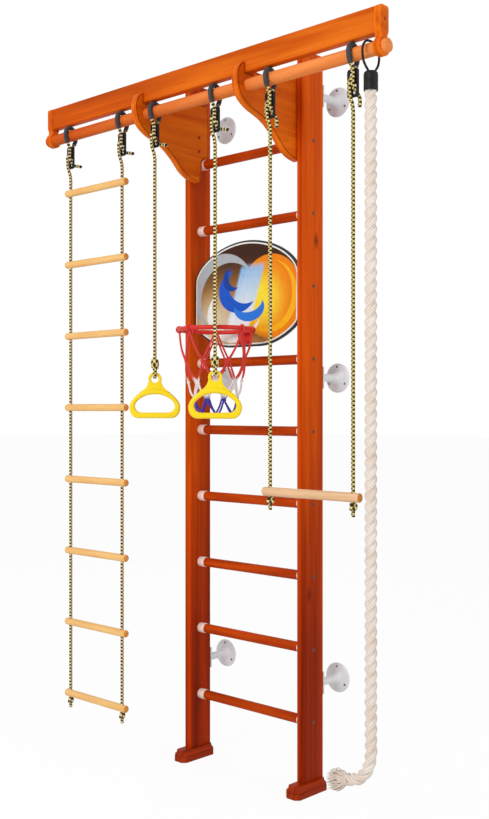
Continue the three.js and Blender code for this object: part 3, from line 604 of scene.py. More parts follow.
# trapeze cords
trapezeSet = {"left": 0.342, "right": 0.662, "drop": 1.267, "radius": 0.014, "overhang": 0.026,
              "knot": 0.027, "knotHeight": 0.0243, "tail": 0.056}
for side in ("left", "right"):
    label, x = "trapeze" + side.title(), trapezeSet[side]
    knot = endKnot(label, x, trapezeSet["drop"] + trapezeSet["radius"], trapezeSet["knot"],
                   trapezeSet["knotHeight"], ringBraid, "trapeze")
    cord = hangerCord(label, x, "hangingTail", trapezeSet["drop"] + trapezeSet["tail"], ringBraid, "trapeze")
    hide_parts("trapeze_%s_rope" % side)

# climbing rope: three strands laid together, bound and frayed at its end
climbSet = {"x": 0.725, "thickness": 0.036, "lay": 0.092, "groove": 0.30, "sides": 36,
            "route": [(0, 0, -0.0713), (0, 0, -0.5), (0, 0, -1.0), (0, 0, -1.5), (0, 0, -1.95), (0, 0, -1.99),
                      (-0.012, 0, -2.034), (-0.042, 0, -2.066), (-0.080, 0, -2.078)]}
tuftSet = {"yarns": 260, "yarn": 0.0015, "length": 0.064, "spread": 0.029, "neck": 0.0134, "mouth": 0.0138,
           "root": 0.006, "tilt": 75, "turn": 2.39996, "curl": 0.0022, "seed": 7, "binding": 0.0163,
           "bindingCord": 0.0014, "bindingRun": 0.012, "bindingBack": 0.004, "bindingTurn": 31}


def cottonMaterial(name, strands):
    made, tree, shader = newMaterial(name, Sheen_Weight=0.3)
    lay = layPlace(tree)
    yarns = 3.0 * strands
    twist = minus(tree, times(tree, lay[1], yarns), times(tree, lay[0], yarns / climbSet["lay"]))
    yarn = mathNode(tree, "ABSOLUTE", sineOf(tree, twist, math.pi))
    fuzz = noiseAt(tree, objectPlace(tree), 500.0, 5.0)
    stain = noiseAt(tree, objectPlace(tree), 18.0, 3.0)
    cloth = mixColour(tree, remap(tree, stain, 0.35, 0.7), tone("f3e9df"), tone("e6d5c6"))
    # painted shade: a darker brown in the creases between yarns
    colour = mixColour(tree, remap(tree, yarn, 0.0, 0.4, 0.25, 1.0), tone("bf9b82"), cloth)
    height = plus(tree, yarn, times(tree, fuzz, 0.7))
    dressShader(tree, shader, colour, remap(tree, fuzz, 0.3, 0.7, 0.8, 0.98), height, 0.45, 0.0012)
    return made


cottonLay = cottonMaterial("cottonLay", 3)
cottonYarn = cottonMaterial("cottonYarn", 1)


def strandedGirth(run, angle):  # three round strands that wind about each other
    third = np.mod(angle - 2 * np.pi * run / climbSet["lay"], 2 * np.pi / 3) - np.pi / 3
    full = climbSet["thickness"] / 2
    return full * (1 - climbSet["groove"] * np.abs(np.sin(1.5 * third)) ** 2.2)


climbRoute = at(smoothRoute(climbSet["route"], 0.004), climbSet["x"])
ropeEnd = climbRoute[-1]
tilt = math.radians(tuftSet["tilt"])
tuftAxis = np.array([-math.sin(tilt), 0, -math.cos(tilt)])
tuftSide = np.cross(tuftAxis, (0, 1, 0))


def tuftFan(angle):  # a direction square to the tuft's axis
    return math.cos(angle) * tuftSide + math.sin(angle) * np.array([0, 1, 0])


chance = np.random.default_rng(tuftSet["seed"])
tuftParts = []
for i in range(tuftSet["yarns"]):
    fan = math.sqrt((i + 0.5) / tuftSet["yarns"]) * tuftFan(tuftSet["turn"] * i)
    far = tuftSet["length"] * (0.7 + 0.3 * chance.random()) * tuftAxis
    curl = chance.normal(0, tuftSet["curl"], (3, 3))
    wide = tuftSet["spread"] * fan
    line = [ropeEnd + tuftSet["neck"] * fan - tuftSet["root"] * tuftAxis,
            ropeEnd + tuftSet["mouth"] * fan + 0.15 * far,
            ropeEnd + 0.72 * wide + 0.45 * far + curl[0],
            ropeEnd + wide + 0.78 * far + curl[1],
            ropeEnd + (0.85 + 0.2 * chance.random()) * wide + far + curl[2]]
    tuftParts.append(sweep(smoothRoute(line, 0.008), evenGirth(tuftSet["yarn"]), 5))
winding = [ropeEnd + tuftAxis * (tuftSet["bindingRun"] * t - tuftSet["bindingBack"])
           + tuftSet["binding"] * tuftFan(tuftSet["bindingTurn"] * t) for t in np.linspace(0, 1, 120)]
tuftParts.append(sweep(winding, evenGirth(tuftSet["bindingCord"]), 6))
verts, faces, cover = joinedLays(tuftParts)
climbingTuft = newPiece("climbingRopeTuft", verts, faces, cottonYarn, "climbing_rope", "cotton_rope", 60,
                        cover)
verts, faces, cover = sweep(climbRoute, strandedGirth, climbSet["sides"])
climbingRope = newPiece("climbingRope", verts, faces, cottonLay, "climbing_rope", "cotton_rope", 70, cover)
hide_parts("climbing_rope")
print("cords hung", routeLength(climbRoute), "m of climbing rope")

# materials of the rigid pieces
# the rails' colours run darker towards the floor: painted shade lower down
railWood = woodMaterial("railWood", "f46206", "982600", (24, 24, 0.7), 1.0, 0.5, 0.015,
                        {"axis": "Z", "run": (0.3, 1.3), "light": "d23e00", "dark": "701800"},
                        knots=((0.282, -0.135, 1.824), (0.282, -0.170, 0.655), (-0.252, -0.128, 1.240),
                               (-0.282, -0.165, 0.910)))
footWood = woodMaterial("footWood", "bc3a04", "701a00", (28, 1.6, 28), 1.0, 0.5, 0.12)
beamWood = woodMaterial("beamWood", "f8801e", "c65008", (0.9, 30, 30), 1.0, 0.5, 0.015,
                        {"axis": "X", "run": (-0.8, 0.6), "light": "e05e08", "dark": "a43800"})
# the bar's pale tone is partly its own wood and partly a painted highlight
barWood = woodMaterial("barWood", "ff9c56", "e27630", (1.4, 50, 50), 0.8, 0.3, 0.03,
                       {"axis": "X", "run": (-0.8, 0.6), "light": "e4661c", "dark": "b64408"})
rungWood = woodMaterial("rungWood", "d24c08", "982b02", (1.6, 55, 55), 0.9, 0.35, 0.015)
bracketWood = woodMaterial("bracketWood", "ff8214", "c64a0a", (26, 1.4, 24), 1.0, 0.4, 0.015)
# painted shade: a darker wood for the faces in the brackets' edge grooves
grooveShadeWood = woodMaterial("grooveShadeWood", "7c2600", "571700", (26, 1.4, 24), 0.9, 0.4, 0.0)
endGrain = woodMaterial("endGrain", "f6ae62", "cf7c34", (90, 90, 90), 0.8, 0.5, 0.0)
ladderWood = woodMaterial("ladderWood", "fed08a", "e9a65a", (2.5, 80, 80), 0.6, 0.35, 0.0)
trapezeWood = woodMaterial("trapezeWood", "f4cba0", "d6a170", (2.5, 80, 80), 0.6, 0.35, 0.0)
cuffPlastic = mouldedMaterial("cuffPlastic", "fae2d8", 0.4, 0.2)
mountPaint = mouldedMaterial("mountPaint", "e4e5e8", 0.35, 0.15, 0.1)
adjusterPlastic = mouldedMaterial("adjusterPlastic", "141417", 0.5, 0.4, 0.15, Specular_IOR_Level=0.2)
sleeveRubber = mouldedMaterial("sleeveRubber", "46464b", 0.65, 0.4, 0.2, Specular_IOR_Level=0.2)
ringPlastic = mouldedMaterial("ringPlastic", "ffdf08", 0.3, 0.12, 0.05, Specular_IOR_Level=0.35)
hoopPaint = mouldedMaterial("hoopPaint", "dc2a1b", 0.4, 0.25, 0.1, Specular_IOR_Level=0.3)
screwMetal = mouldedMaterial("screwMetal", "5c3c2e", 0.45, 0.4, 0.1, Metallic=0.3)
darkScrew = mouldedMaterial("darkScrew", "37373b", 0.4, 0.4, 0.1, Metallic=0.7)
plugWood = woodMaterial("plugWood", "b5480f", "7d2a05", (50, 50, 50), 0.6, 0.4)
print("materials made")

# rails with their screws
railSet = {"x": 0.267, "y": -0.148, "width": 0.030, "depth": 0.106, "round": 0.008, "edge": 0.002,
           "low": 0.0123, "top": 2.440, "screw": (0.0066, 0.0012)}
rungSet = {"first": 0.232, "pitch": 0.24, "count": 10, "radius": 0.0165, "half": 0.272, "edge": 0.002,
           "cuff": 0.018, "cuffBore": 0.0162, "cuffOuter": 0.2517, "cuffLength": 0.030}
rungHeights = [rungSet["first"] + rungSet["pitch"] * i for i in range(rungSet["count"])]
railOutline = centredRectangle(railSet["width"], railSet["depth"], railSet["round"], 8)
railMiddle = (railSet["low"] + railSet["top"]) / 2
capSink = 0.0004  # of screw heads and plugs into the wood or steel
tip = 0.0001  # radius where a turned shape closes on its axis


def screwHead(radius, rise):  # a low domed head with a round recess
    return [(radius, -capSink), (radius, 0.3 * rise), (0.9 * radius, 0.7 * rise), (0.6 * radius, rise),
            (0.4 * radius, rise), (0.32 * radius, 0.35 * rise), (tip, 0.2 * rise)]


def plugCap(radius, edge, rise):  # a wooden plug with an eased edge
    return [(radius, -capSink), (radius, capSink), (edge, rise - 0.0002), (tip, rise)]


def facing(profile, sign):  # a profile that looks along its axis or back
    return [(radius, sign * t) for radius, t in profile]


def rodLine(radius, half, end, straight, count):  # a rod's profile with eased ends
    line = [(q, t - half) for q, t in end]
    line += [(radius, t) for t in np.linspace(straight - half, half - straight, count)]
    return line + [(q, half - t) for q, t in reversed(end)]


for side, sign in bothSides:
    body = slab([railOutline], railSet["top"] - railSet["low"], "z", railSet["edge"], steps=3)
    rail = newPiece("rail" + side.title(), *shifted(body, (sign * railSet["x"], railSet["y"], railMiddle)),
                    railWood, "frame", "stained_wood")
    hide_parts("rail_" + side)
    outer = sign * (railSet["x"] + railSet["width"] / 2)
    head = lathe(facing(screwHead(*railSet["screw"]), sign), "x", 20)
    heads = [shifted(head, (outer, railSet["y"], z)) for z in rungHeights]
    newPiece("railScrews" + side.title(), *joined(heads), screwMetal, "frame", "stained_wood")

# feet: plinth with cut corners, a groove and a bead, then a slope up to the rail
footSet = {"front": 0.046, "back": 0.010, "side": 0.016, "plinth": 0.024, "height": 0.040, "step": 0.008,
           "corner": 0.014}


def footOutline(inset):
    return roundRectangle(-railSet["width"] / 2 - footSet["side"] + inset,
                          -railSet["depth"] / 2 - footSet["front"] + inset,
                          railSet["width"] / 2 + footSet["side"] - inset,
                          railSet["depth"] / 2 + footSet["back"] - inset, footSet["corner"] - 0.6 * inset, 1)


low, high, step = footSet["plinth"], footSet["height"], footSet["step"]
footProfile = [(0.0012, 0.0), (0.0, 0.0012), (0.0, low - 0.0058), (0.0006, low - 0.0048),
               (0.0026, low - 0.0044), (0.0026, low - 0.0026), (0.0010, low - 0.0020),
               (0.0006, low - 0.0006), (0.0014, low + 0.0010), (0.0040, low + 0.0022),
               (0.0064, low + 0.0050), (step - 0.0004, low + 0.0100), (step, high - 0.0024),
               (step + 0.0006, high - 0.0007), (step + 0.0022, high)]
footBody = loft([(footOutline(inset), z) for inset, z in footProfile])
for side, sign in bothSides:
    foot = newPiece("foot" + side.title(), *shifted(footBody, (sign * railSet["x"], railSet["y"], 0)),
                    footWood, "frame", "stained_wood", 25)
    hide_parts("foot_" + side)

# rungs and their pale cuffs
r, ease = rungSet["radius"], rungSet["edge"]
rungBody = lathe(rodLine(r, rungSet["half"], [(r - ease, 0)], ease, 9), "x", 28)
for i, z in enumerate(rungHeights):
    rung = newPiece("rung%d" % (i + 1), *shifted(rungBody, (0, railSet["y"], z)), rungWood, "frame",
                    "rung_wood")
    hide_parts("rung_%d" % (i + 1))
r, bore = rungSet["cuff"], rungSet["cuffBore"]
a, b = rungSet["cuffOuter"], rungSet["cuffOuter"] - rungSet["cuffLength"]
cuffLine = [(bore, a), (r - 0.0006, a), (r, a - 0.0008), (r, b + 0.003), (r - 0.0003, b + 0.001),
            (r - 0.0009, b), (bore, b)]
cuffs = [shifted(lathe(facing(cuffLine, sign), "x", 28), (0, railSet["y"], z))
         for z in rungHeights for sign in (-1, 1)]
newPiece("rungCuffs", *joined(cuffs), cuffPlastic, "frame", "rung_wood")

# wall mounts: plate on the rail, tube and trumpet flange
mountSet = {"heights": [0.352, 1.372, 2.312], "rim": 0.050, "tube": 0.013, "standoff": 0.0947,
            "plate": (0.026, 0.074, 0.006), "plateRound": 0.003, "plateEdge": 0.001,
            "screw": (0.0042, 0.0016), "screwAngles": (90, 210, 330), "screwRing": 0.038, "screwFace": 0.0056}
tube, rim, start = mountSet["tube"], mountSet["rim"], -mountSet["standoff"]
trumpetLine = [(tube, start), (tube, -0.036), (tube + 0.0006, -0.030), (tube + 0.002, -0.024),
               (tube + 0.0045, -0.0175), (tube + 0.009, -0.0118), (tube + 0.016, -0.0082),
               (tube + 0.026, -0.0062), (rim - 0.0035, -0.0048), (rim - 0.001, -0.0036), (rim, -0.0022),
               (rim, 0)]
wide, tall, thick = mountSet["plate"]
plate = slab([centredRectangle(wide, tall, mountSet["plateRound"])], thick, "y", mountSet["plateEdge"])
mountBody = joined([lathe(trumpetLine, "y", 40), shifted(plate, (0, start + thick / 2, 0))])
head = lathe(facing(screwHead(*mountSet["screw"]), -1), "y", 18)
heads = []
for angle in mountSet["screwAngles"]:
    a = math.radians(angle)
    heads.append(shifted(head, (mountSet["screwRing"] * math.cos(a), -mountSet["screwFace"],
                                mountSet["screwRing"] * math.sin(a))))
for side, sign in bothSides:
    for i, z in enumerate(mountSet["heights"]):
        place = (sign * railSet["x"], 0, z)
        mount = newPiece("wallMount%s%d" % (side.title(), i + 1), *shifted(mountBody, place), mountPaint,
                         "frame", "white_paint")
        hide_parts("wall_mount_%s_%d" % (side, i + 1))
        newPiece("mountScrews%s%d" % (side.title(), i + 1), *shifted(joined(heads), place), darkScrew,
                 "frame", "white_paint")
print("wall bars built")

# beam, bar and end blocks
beamSet = {"low": 0.0375, "height": 0.078, "thickness": 0.030, "round": 0.005, "gap": 0.0003,
           "barRadius": 0.020, "barHalf": 0.788}
blockSet = {"x": 0.7615, "thickness": 0.025, "edge": 0.004, "half": 0.020, "shoulder": 0.046, "round": 0.009,
            "lobe": 0.027, "plug": (0.0052, 0.0046, 0.0011)}
beamTop = beamSet["low"] + beamSet["height"]
beamOutline = roundRectangle(-beamSet["thickness"] / 2, beamSet["low"], beamSet["thickness"] / 2, beamTop,
                             beamSet["round"])
beamLength = 2 * (blockSet["x"] - blockSet["thickness"] / 2 - beamSet["gap"])
beam = newPiece("beam", *onBar(slab([beamOutline], beamLength, "x")), beamWood, "frame", "stained_wood")
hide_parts("beam")
r = beamSet["barRadius"]
barEnd = [(r - 0.0028, 0), (r - 0.0008, 0.001), (r, 0.0032)]
barLine = rodLine(r, beamSet["barHalf"], barEnd, 0.01, 17)
bar = newPiece("pullUpBar", *onBar(lathe(barLine, "x", 40)), barWood, "frame", "stained_wood")
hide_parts("pull_up_bar")

half, shoulder = blockSet["half"], blockSet["shoulder"]
blockWaist = [(0.0162, 0.0216), (0.0150, 0.0262), (0.0150, 0.0312), (0.0164, 0.0352), (0.0188, 0.0396),
              (half, shoulder)]
blockTop = roundRectangle(-half, shoulder, half, beamTop, blockSet["round"])[7:21]  # its two upper corners
lobeArc = arcLine(blockSet["lobe"], 131, 409, 30)
blockOutline = blockWaist + blockTop + [(-a, b) for a, b in reversed(blockWaist)] + lobeArc
for side, sign in bothSides:
    body = slab([blockOutline], blockSet["thickness"], "x", blockSet["edge"])
    block = newPiece("endBlock" + side.title(), *onBar(body, sign * blockSet["x"]), bracketWood, "frame",
                     "stained_wood")
    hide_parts("end_block_" + side)
    cap = lathe(facing(plugCap(*blockSet["plug"]), sign), "x", 20)
    outer = sign * (blockSet["x"] + blockSet["thickness"] / 2)
    newPiece("endPlug" + side.title(), *onBar(cap, outer, -beamSet["low"] - beamSet["height"] / 2), plugWood,
             "frame", "stained_wood")

# brackets that carry bar and beam
bracketSet = {"thickness": 0.025, "x": 0.2392, "plugs": [(0.247, -0.035), (0.247, -0.085)],
              "plug": (0.006, 0.0052, 0.0012), "groove": 3,
              "edge": [(0.0059, 0), (0.0056, 0.0014), (0.0044, 0.0016), (0.0040, 0.0004), (0.0028, 0),
                       (0.0014, 0.0006), (0.0004, 0.0020), (0, 0.0042)]}
hookLine = smoothRoute([(-0.0213, 0.0715, 0), (-0.040, 0.0585, 0), (-0.053, 0.0245, 0), (-0.039, -0.034, 0),
                        (-0.003, -0.064, 0), (0.0772, -0.095, 0), (0.1271, -0.1307, 0), (0.1657, -0.1683, 0),
                        (0.2043, -0.1901, 0), (0.241, -0.198, 0)], 0.006)
cuffArc = arcLine(0.0201, 200, 110, 7, (0.280, -0.128))  # leaves room for a rung's cuff
lipCurve = smoothRoute([(0.213, 0.085, 0), (0.156, 0.0625, 0), (0.108, 0.0515, 0), (0.065, 0.0485, 0),
                        (0.034, 0.050, 0), (0.0273, 0.0525, 0), (0.0213, 0.058, 0), (0.0153, 0.0515, 0)],
                       0.004)
bracketOutline = [(-0.0153, 0.0372), (-0.0153, 0.0655)] + hookLine[:, :2].tolist()
bracketOutline += [(0.251, -0.192), (0.2545, -0.183)] + cuffArc
bracketOutline += [(0.283, -0.1066), (0.294, -0.0995), (0.295, -0.097), (0.295, 0.082), (0.2935, 0.0845),
                   (0.291, 0.085)]
bracketOutline += lipCurve[:, :2].tolist() + [(0.0153, 0.0372)]
bands = 2 * len(bracketSet["edge"]) - 1
for side, sign in bothSides:
    body = slab([bracketOutline], bracketSet["thickness"], "x", edge=bracketSet["edge"])
    bracket = newPiece("bracket" + side.title(), *onBar(body, sign * bracketSet["x"]),
                       [bracketWood, grooveShadeWood], "frame", "stained_wood", 50)
    # painted shade: faces in the edge grooves take the darker wood
    for i in range(bands * len(bracketOutline)):
        band = i // len(bracketOutline)
        if min(band, bands - 1 - band) < bracketSet["groove"]:
            bracket.data.polygons[i].material_index = 1
    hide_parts("bracket_" + side)
    cap = lathe(facing(plugCap(*bracketSet["plug"]), -sign), "x", 20)
    inner = sign * (bracketSet["x"] - bracketSet["thickness"] / 2)
    plugs = [onBar(shifted(cap, (0, y, z)), inner) for y, z in bracketSet["plugs"]]
    newPiece("bracketPlugs" + side.title(), *joined(plugs), plugWood, "frame", "stained_wood")
print("bar and brackets built")

# hanger hardware: sleeve over the bar and adjuster plate
hangerSet = {"sleeve": 0.00775, "rim": 0.0012, "rimEase": 0.0006, "rib": 0.0002, "ribPitch": 0.003,
             "plate": (0.040, 0.082, 0.006), "plateEdge": 0.0012, "topDrop": 0.040, "round": 0.008,
             "slot": (0.0131, 0.029), "slots": [(-0.0065, 0.066), (0.0065, 0.099)]}
hangers = [("ladderLeft", "ladder_left", ladderSet["left"], "rope_ladder"),
           ("ladderRight", "ladder_right", ladderSet["right"], "rope_ladder"),
           ("ringLeft", "ring_left", ringSet["left"], "ring_left"),
           ("ringRight", "ring_right", ringSet["right"], "ring_right"),
           ("trapezeLeft", "trapeze_left", trapezeSet["left"], "trapeze"),
           ("trapezeRight", "trapeze_right", trapezeSet["right"], "trapeze")]
wide, tall, thick = hangerSet["plate"]
plateLine = roundRectangle(-wide / 2, -hangerSet["topDrop"] - tall, wide / 2, -hangerSet["topDrop"],
                           hangerSet["round"])
w, h = hangerSet["slot"]
slotLines = []
for middle, drop in hangerSet["slots"]:
    slotLine = roundRectangle(middle - w / 2, -drop - h / 2, middle + w / 2, -drop + h / 2, w / 2 - 0.0001)
    slotLines.append(slotLine[::-1])
plateBody = slab([plateLine] + slotLines, thick, "y", hangerSet["plateEdge"], steps=3)


def sleeveGirth(run, angle):  # fine ribs along a rubber hose, eased at its ends
    rim = np.clip(np.minimum(run, run.max() - run) / hangerSet["rim"], 0, 1)
    rib = 0.5 + 0.5 * np.cos(2 * np.pi * run / hangerSet["ribPitch"])
    return hangerSet["sleeve"] - hangerSet["rimEase"] * (1 - rim) - hangerSet["rib"] * rib


sleeveRoute = cordSet["frontThread"][-2:] + loopArc + cordSet["backThread"][:2]
for label, node, x, body in hangers:
    verts, faces, cover = sweep(at(smoothRoute(sleeveRoute, 0.001), x), sleeveGirth, 16)
    sleeve = newPiece(label + "Sleeve", verts, faces, sleeveRubber, body, "grey_sleeve", 50)
    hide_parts(node + "_sleeve")
    plate = newPiece(label + "Adjuster", *onBar(plateBody, x), adjusterPlastic, body, "black_plastic")
    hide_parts(node + "_adjuster")


# rope ladder rungs and trapeze bar, rounded at their ends
def grabRod(radius, half):
    end = [(radius - 0.0035, 0.0), (radius - 0.0012, 0.0011), (radius, 0.0035)]
    return lathe(rodLine(radius, half, end, 0.008, 7), "x", 28)


def hungRod(settings, radius):  # from cord to cord and a little past both
    half = (settings["right"] - settings["left"]) / 2 + settings["overhang"]
    return shifted(grabRod(radius, half), ((settings["left"] + settings["right"]) / 2, 0, 0))


def showEndGrain(piece):
    for face in piece.data.polygons:
        if abs(face.normal.x) > 0.9:
            face.material_index = 1


for i, drop in enumerate(ladderDrops):
    body = onBar(hungRod(ladderSet, ladderSet["rungRadius"]), 0, drop)
    rung = newPiece("ladderRung%d" % (i + 1), *body, [ladderWood, endGrain], "rope_ladder", "natural_wood")
    showEndGrain(rung)
    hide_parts("ladder_rung_%d" % (i + 1))
body = onBar(hungRod(trapezeSet, trapezeSet["radius"]), 0, trapezeSet["drop"])
trapezeBar = newPiece("trapezeBar", *body, [trapezeWood, endGrain], "trapeze", "pale_wood")
showEndGrain(trapezeBar)
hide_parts("trapeze_bar")

# ring handles: rounded grip under a boss with an eye
handleSet = {"half": 0.090, "grip": 0.020, "depth": 0.024, "low": -0.134, "crown": -0.032,
             "gripEdge": (0.0108, 0.0056), "boss": 0.023, "eye": 0.013, "web": 0.012, "webEdge": 0.0025,
             "webSpread": 0.030}


def gripOutline(inset):
    wide, base, crown = handleSet["half"] - inset, handleSet["low"] + inset, handleSet["crown"] - inset

    def spot(across, share):
        return (across * wide, base + share * (crown - base))
    line = [spot(-0.62, 0), spot(-0.31, 0), spot(0, 0), spot(0.31, 0)]
    line += bezierLine(spot(0.62, 0), spot(0.92, 0), spot(1.06, 0.34), spot(0.9, 0.56))
    line += bezierLine(spot(0.9, 0.56), spot(0.74, 0.78), spot(0.44, 1), spot(0, 1))
    line += bezierLine(spot(0, 1), spot(-0.44, 1), spot(-0.74, 0.78), spot(-0.9, 0.56))
    return line + bezierLine(spot(-0.9, 0.56), spot(-1.06, 0.34), spot(-0.92, 0), spot(-0.62, 0))


boss, spread = handleSet["boss"], handleSet["boss"] + handleSet["webSpread"]
webLow = handleSet["crown"] - 0.7 * handleSet["grip"]
neck = [(-boss - 0.001, -0.0155), (-boss - 0.004, -0.024), (-boss - 0.012, -0.034)]
webOutline = arcLine(boss, -22, 202, 28) + neck + [(-spread, webLow), (spread, webLow)]
webOutline += [(-a, b) for a, b in reversed(neck)]
eyeLine = arcLine(handleSet["eye"], 0, -360, 29)[:-1]
gripLines = [gripOutline(0), gripOutline(handleSet["grip"])[::-1]]
grip = slab(gripLines, handleSet["depth"], "y", *handleSet["gripEdge"], 6)
web = slab([webOutline, eyeLine], handleSet["web"], "y", handleSet["webEdge"])
handleBody = turnedAbout(joined([grip, web]), ringTurn)
for side in ("left", "right"):
    handle = newPiece("ring%sHandle" % side.title(), *onBar(handleBody, ringSet[side], ringSet["drop"]),
                      ringPlastic, "ring_%s_grip" % side, "yellow_plastic", 50)
    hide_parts("ring_%s_handle" % side)

# holder of the climbing rope: rod loop over the bar and a moulded socket
holderSet = {"rod": 0.0035, "rise": 0.0241, "spread": 0.039, "top": -0.060, "low": -0.116, "outer": 0.0206,
             "bore": 0.0186, "socket": 0.045}
rise, top, spread = holderSet["rise"], holderSet["top"], holderSet["spread"]
half = [(0, 0.26 * spread, top - 0.007), (0, 0.33 * spread, top), (0, 0.62 * spread, 0.84 * top),
        (0, 0.89 * spread, 0.6 * top), (0, spread, 0.3 * top), (0, 0.97 * spread, 0),
        (0, 0.8 * spread, 0.5 * rise), (0, 0.54 * spread, 0.86 * rise), (0, 0.27 * spread, rise - 0.0005)]
loop = smoothRoute(half + [(0, 0, rise)] + [(x, -y, z) for x, y, z in reversed(half)])
rod = sweep(loop, evenGirth(holderSet["rod"]), 14)
outer, bore, low = holderSet["outer"], holderSet["bore"], holderSet["low"]
floor = low + holderSet["socket"]
socket = lathe([(tip, top), (0.55 * outer, top), (0.8 * outer, top - 0.0015), (0.95 * outer, top - 0.005),
                (outer, top - 0.011), (outer, top - 0.030), (0.97 * outer, top - 0.031),
                (0.97 * outer, top - 0.0335), (outer, top - 0.0345), (outer, low + 0.002),
                (outer - 0.0007, low), (bore, low), (bore, floor), (tip, floor)], "z", 36)
holder = newPiece("climbingRopeHolder", *onBar(joined([rod[:2], socket]), climbSet["x"]), adjusterPlastic,
                  "climbing_rope", "black_plastic")
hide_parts("climbing_rope_holder")
print("hanging pieces built")

# backboard on its hooks
boardSet = {"half": 0.249, "drop": 0.190, "rise": 0.178, "thickness": 0.012, "edge": 0.003,
            "rungHeight": 1.672, "back": -0.1685, "rim": 0.007, "line": 0.005, "film": 0.0006,
            "filmEdge": 0.0002}
hookSet = {"places": (-0.130, 0.130), "width": 0.022, "inner": 0.0171, "outer": 0.0221, "low": -0.011,
           "turn": 207, "edge": 0.0008}
w, d, u = boardSet["half"], boardSet["drop"], boardSet["rise"]
boardOutline = [(-0.3 * w, -d), (0, -d)]
boardOutline += bezierLine((0.3 * w, -d), (0.55 * w, -d), (w, -0.72 * d), (w, -0.52 * d))
boardOutline += bezierLine((w, 0.24 * u), (w, 0.62 * u), (0.5 * w, u), (0, u), 16)
boardOutline += bezierLine((0, u), (-0.5 * w, u), (-w, 0.62 * u), (-w, 0.24 * u), 16)
boardOutline += bezierLine((-w, -0.52 * d), (-w, -0.72 * d), (-0.55 * w, -d), (-0.3 * w, -d))


def printMaterial():  # brown field with a warm round, a pale fan and sweeping bands
    made, tree, shader = newMaterial("boardPrint", Specular_IOR_Level=0.15)
    place = splitPlace(tree)
    across = place[0]
    height = minus(tree, place[2], boardSet["rungHeight"])

    def reach(x, z, squeeze=1.0):  # distance from a spot
        dx = minus(tree, across, x)
        dz = times(tree, minus(tree, height, z), squeeze)
        return mathNode(tree, "SQRT", plus(tree, times(tree, dx, dx), times(tree, dz, dz)))

    def disc(x, z, radius, squeeze=1.0):
        return remap(tree, reach(x, z, squeeze), radius + 0.0012, radius - 0.0012)

    def crescent(outer, inner):
        return times(tree, disc(*outer), minus(tree, 1.0, disc(*inner)))

    def between(value, low, high, soft):
        return times(tree, remap(tree, value, low - soft, low + soft),
                     remap(tree, value, high + soft, high - soft))

    colour = mixColour(tree, remap(tree, height, -0.05, 0.13, smooth=True), tone("b07c40"), tone("3c1c0a"))
    paleCorner = remap(tree, reach(-0.14, -0.12), 0.16, 0.03, smooth=True)
    colour = mixColour(tree, paleCorner, colour, tone("dccaa8"))
    warmth = remap(tree, reach(0.07, -0.03), 0.02, 0.15, smooth=True)
    warm = mixColour(tree, warmth, tone("ffe53c"), tone("f08408"))
    colour = mixColour(tree, disc(0.118, -0.022, 0.142), colour, warm)
    glow = crescent((0.118, -0.022, 0.122), (0.100, -0.012, 0.118))
    colour = mixColour(tree, glow, colour, tone("fbb416"))
    lean = plus(tree, across, times(tree, height, -0.35))
    fan = times(tree, between(lean, -0.045, 0.062, 0.006), between(height, -0.135, 0.088, 0.01))
    pale = mixColour(tree, remap(tree, height, -0.12, 0.08), tone("f6fbff"), tone("8cc4f4"))
    colour = mixColour(tree, times(tree, fan, 0.9), colour, pale)
    bands = [("aeb3b8", (-0.105, 0.005, 0.150, 1.1), (-0.075, -0.02, 0.140, 1.1)),
             ("f4f4f0", (-0.055, -0.075, 0.128, 1.3), (-0.035, -0.045, 0.124, 1.3)),
             ("1656c8", (-0.035, 0.005, 0.090, 1.2), (0.006, 0.030, 0.084, 1.2)),
             ("2d7be4", (0.020, -0.055, 0.072, 1.5), (0.012, -0.022, 0.074, 1.5)),
             ("0f3f9e", (-0.062, 0.048, 0.042, 1.0), (-0.038, 0.060, 0.042, 1.0))]
    for text, outerDisc, innerDisc in bands:
        colour = mixColour(tree, crescent(outerDisc, innerDisc), colour, tone(text))
    grain = noiseAt(tree, objectPlace(tree), 60.0, 4.0)
    colour = mixColour(tree, remap(tree, grain, 0.5, 0.9, 0.0, 0.2), colour, tone("3a2010"))
    dressShader(tree, shader, colour, remap(tree, grain, 0.3, 0.7, 0.3, 0.45), grain, 0.05, 0.0005)
    return made


boardBlack = mouldedMaterial("boardBlack", "141416", 0.35, 0.3, 0.08)
boardWhite = mouldedMaterial("boardWhite", "f2f2ee", 0.4, 0.1, 0.05)
boardPrint = printMaterial()
boardMiddle = boardSet["back"] - boardSet["thickness"] / 2
body = slab([boardOutline], boardSet["thickness"], "y", boardSet["edge"])
board = newPiece("backboard", *shifted(body, (0, boardMiddle, boardSet["rungHeight"])), boardBlack, "frame",
                 "board_print")
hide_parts("backboard")
front = boardSet["back"] - boardSet["thickness"]
for name, inset, lift, finish in (("boardLine", boardSet["rim"], 0.0002, boardWhite),
                                  ("boardField", boardSet["rim"] + boardSet["line"], 0.0004, boardPrint)):
    field = slab([insetLine(boardOutline, inset).tolist()], boardSet["film"], "y", boardSet["filmEdge"],
                 steps=2)
    newPiece(name, *shifted(field, (0, front - lift, boardSet["rungHeight"])), finish, "frame", "board_print")
over = 180 - hookSet["turn"]  # the strip goes over the rung and a little under it
strip = [(-hookSet["outer"], hookSet["low"])] + arcLine(hookSet["outer"], 180, over, 19)
strip += arcLine(hookSet["inner"], over, 180, 19) + [(-hookSet["inner"], hookSet["low"])]
hookBody = slab([strip[::-1]], hookSet["width"], "x", hookSet["edge"], steps=2)
hookParts = [shifted(hookBody, (x, railSet["y"], boardSet["rungHeight"])) for x in hookSet["places"]]
newPiece("boardHooks", *joined(hookParts), boardBlack, "frame", "board_print")

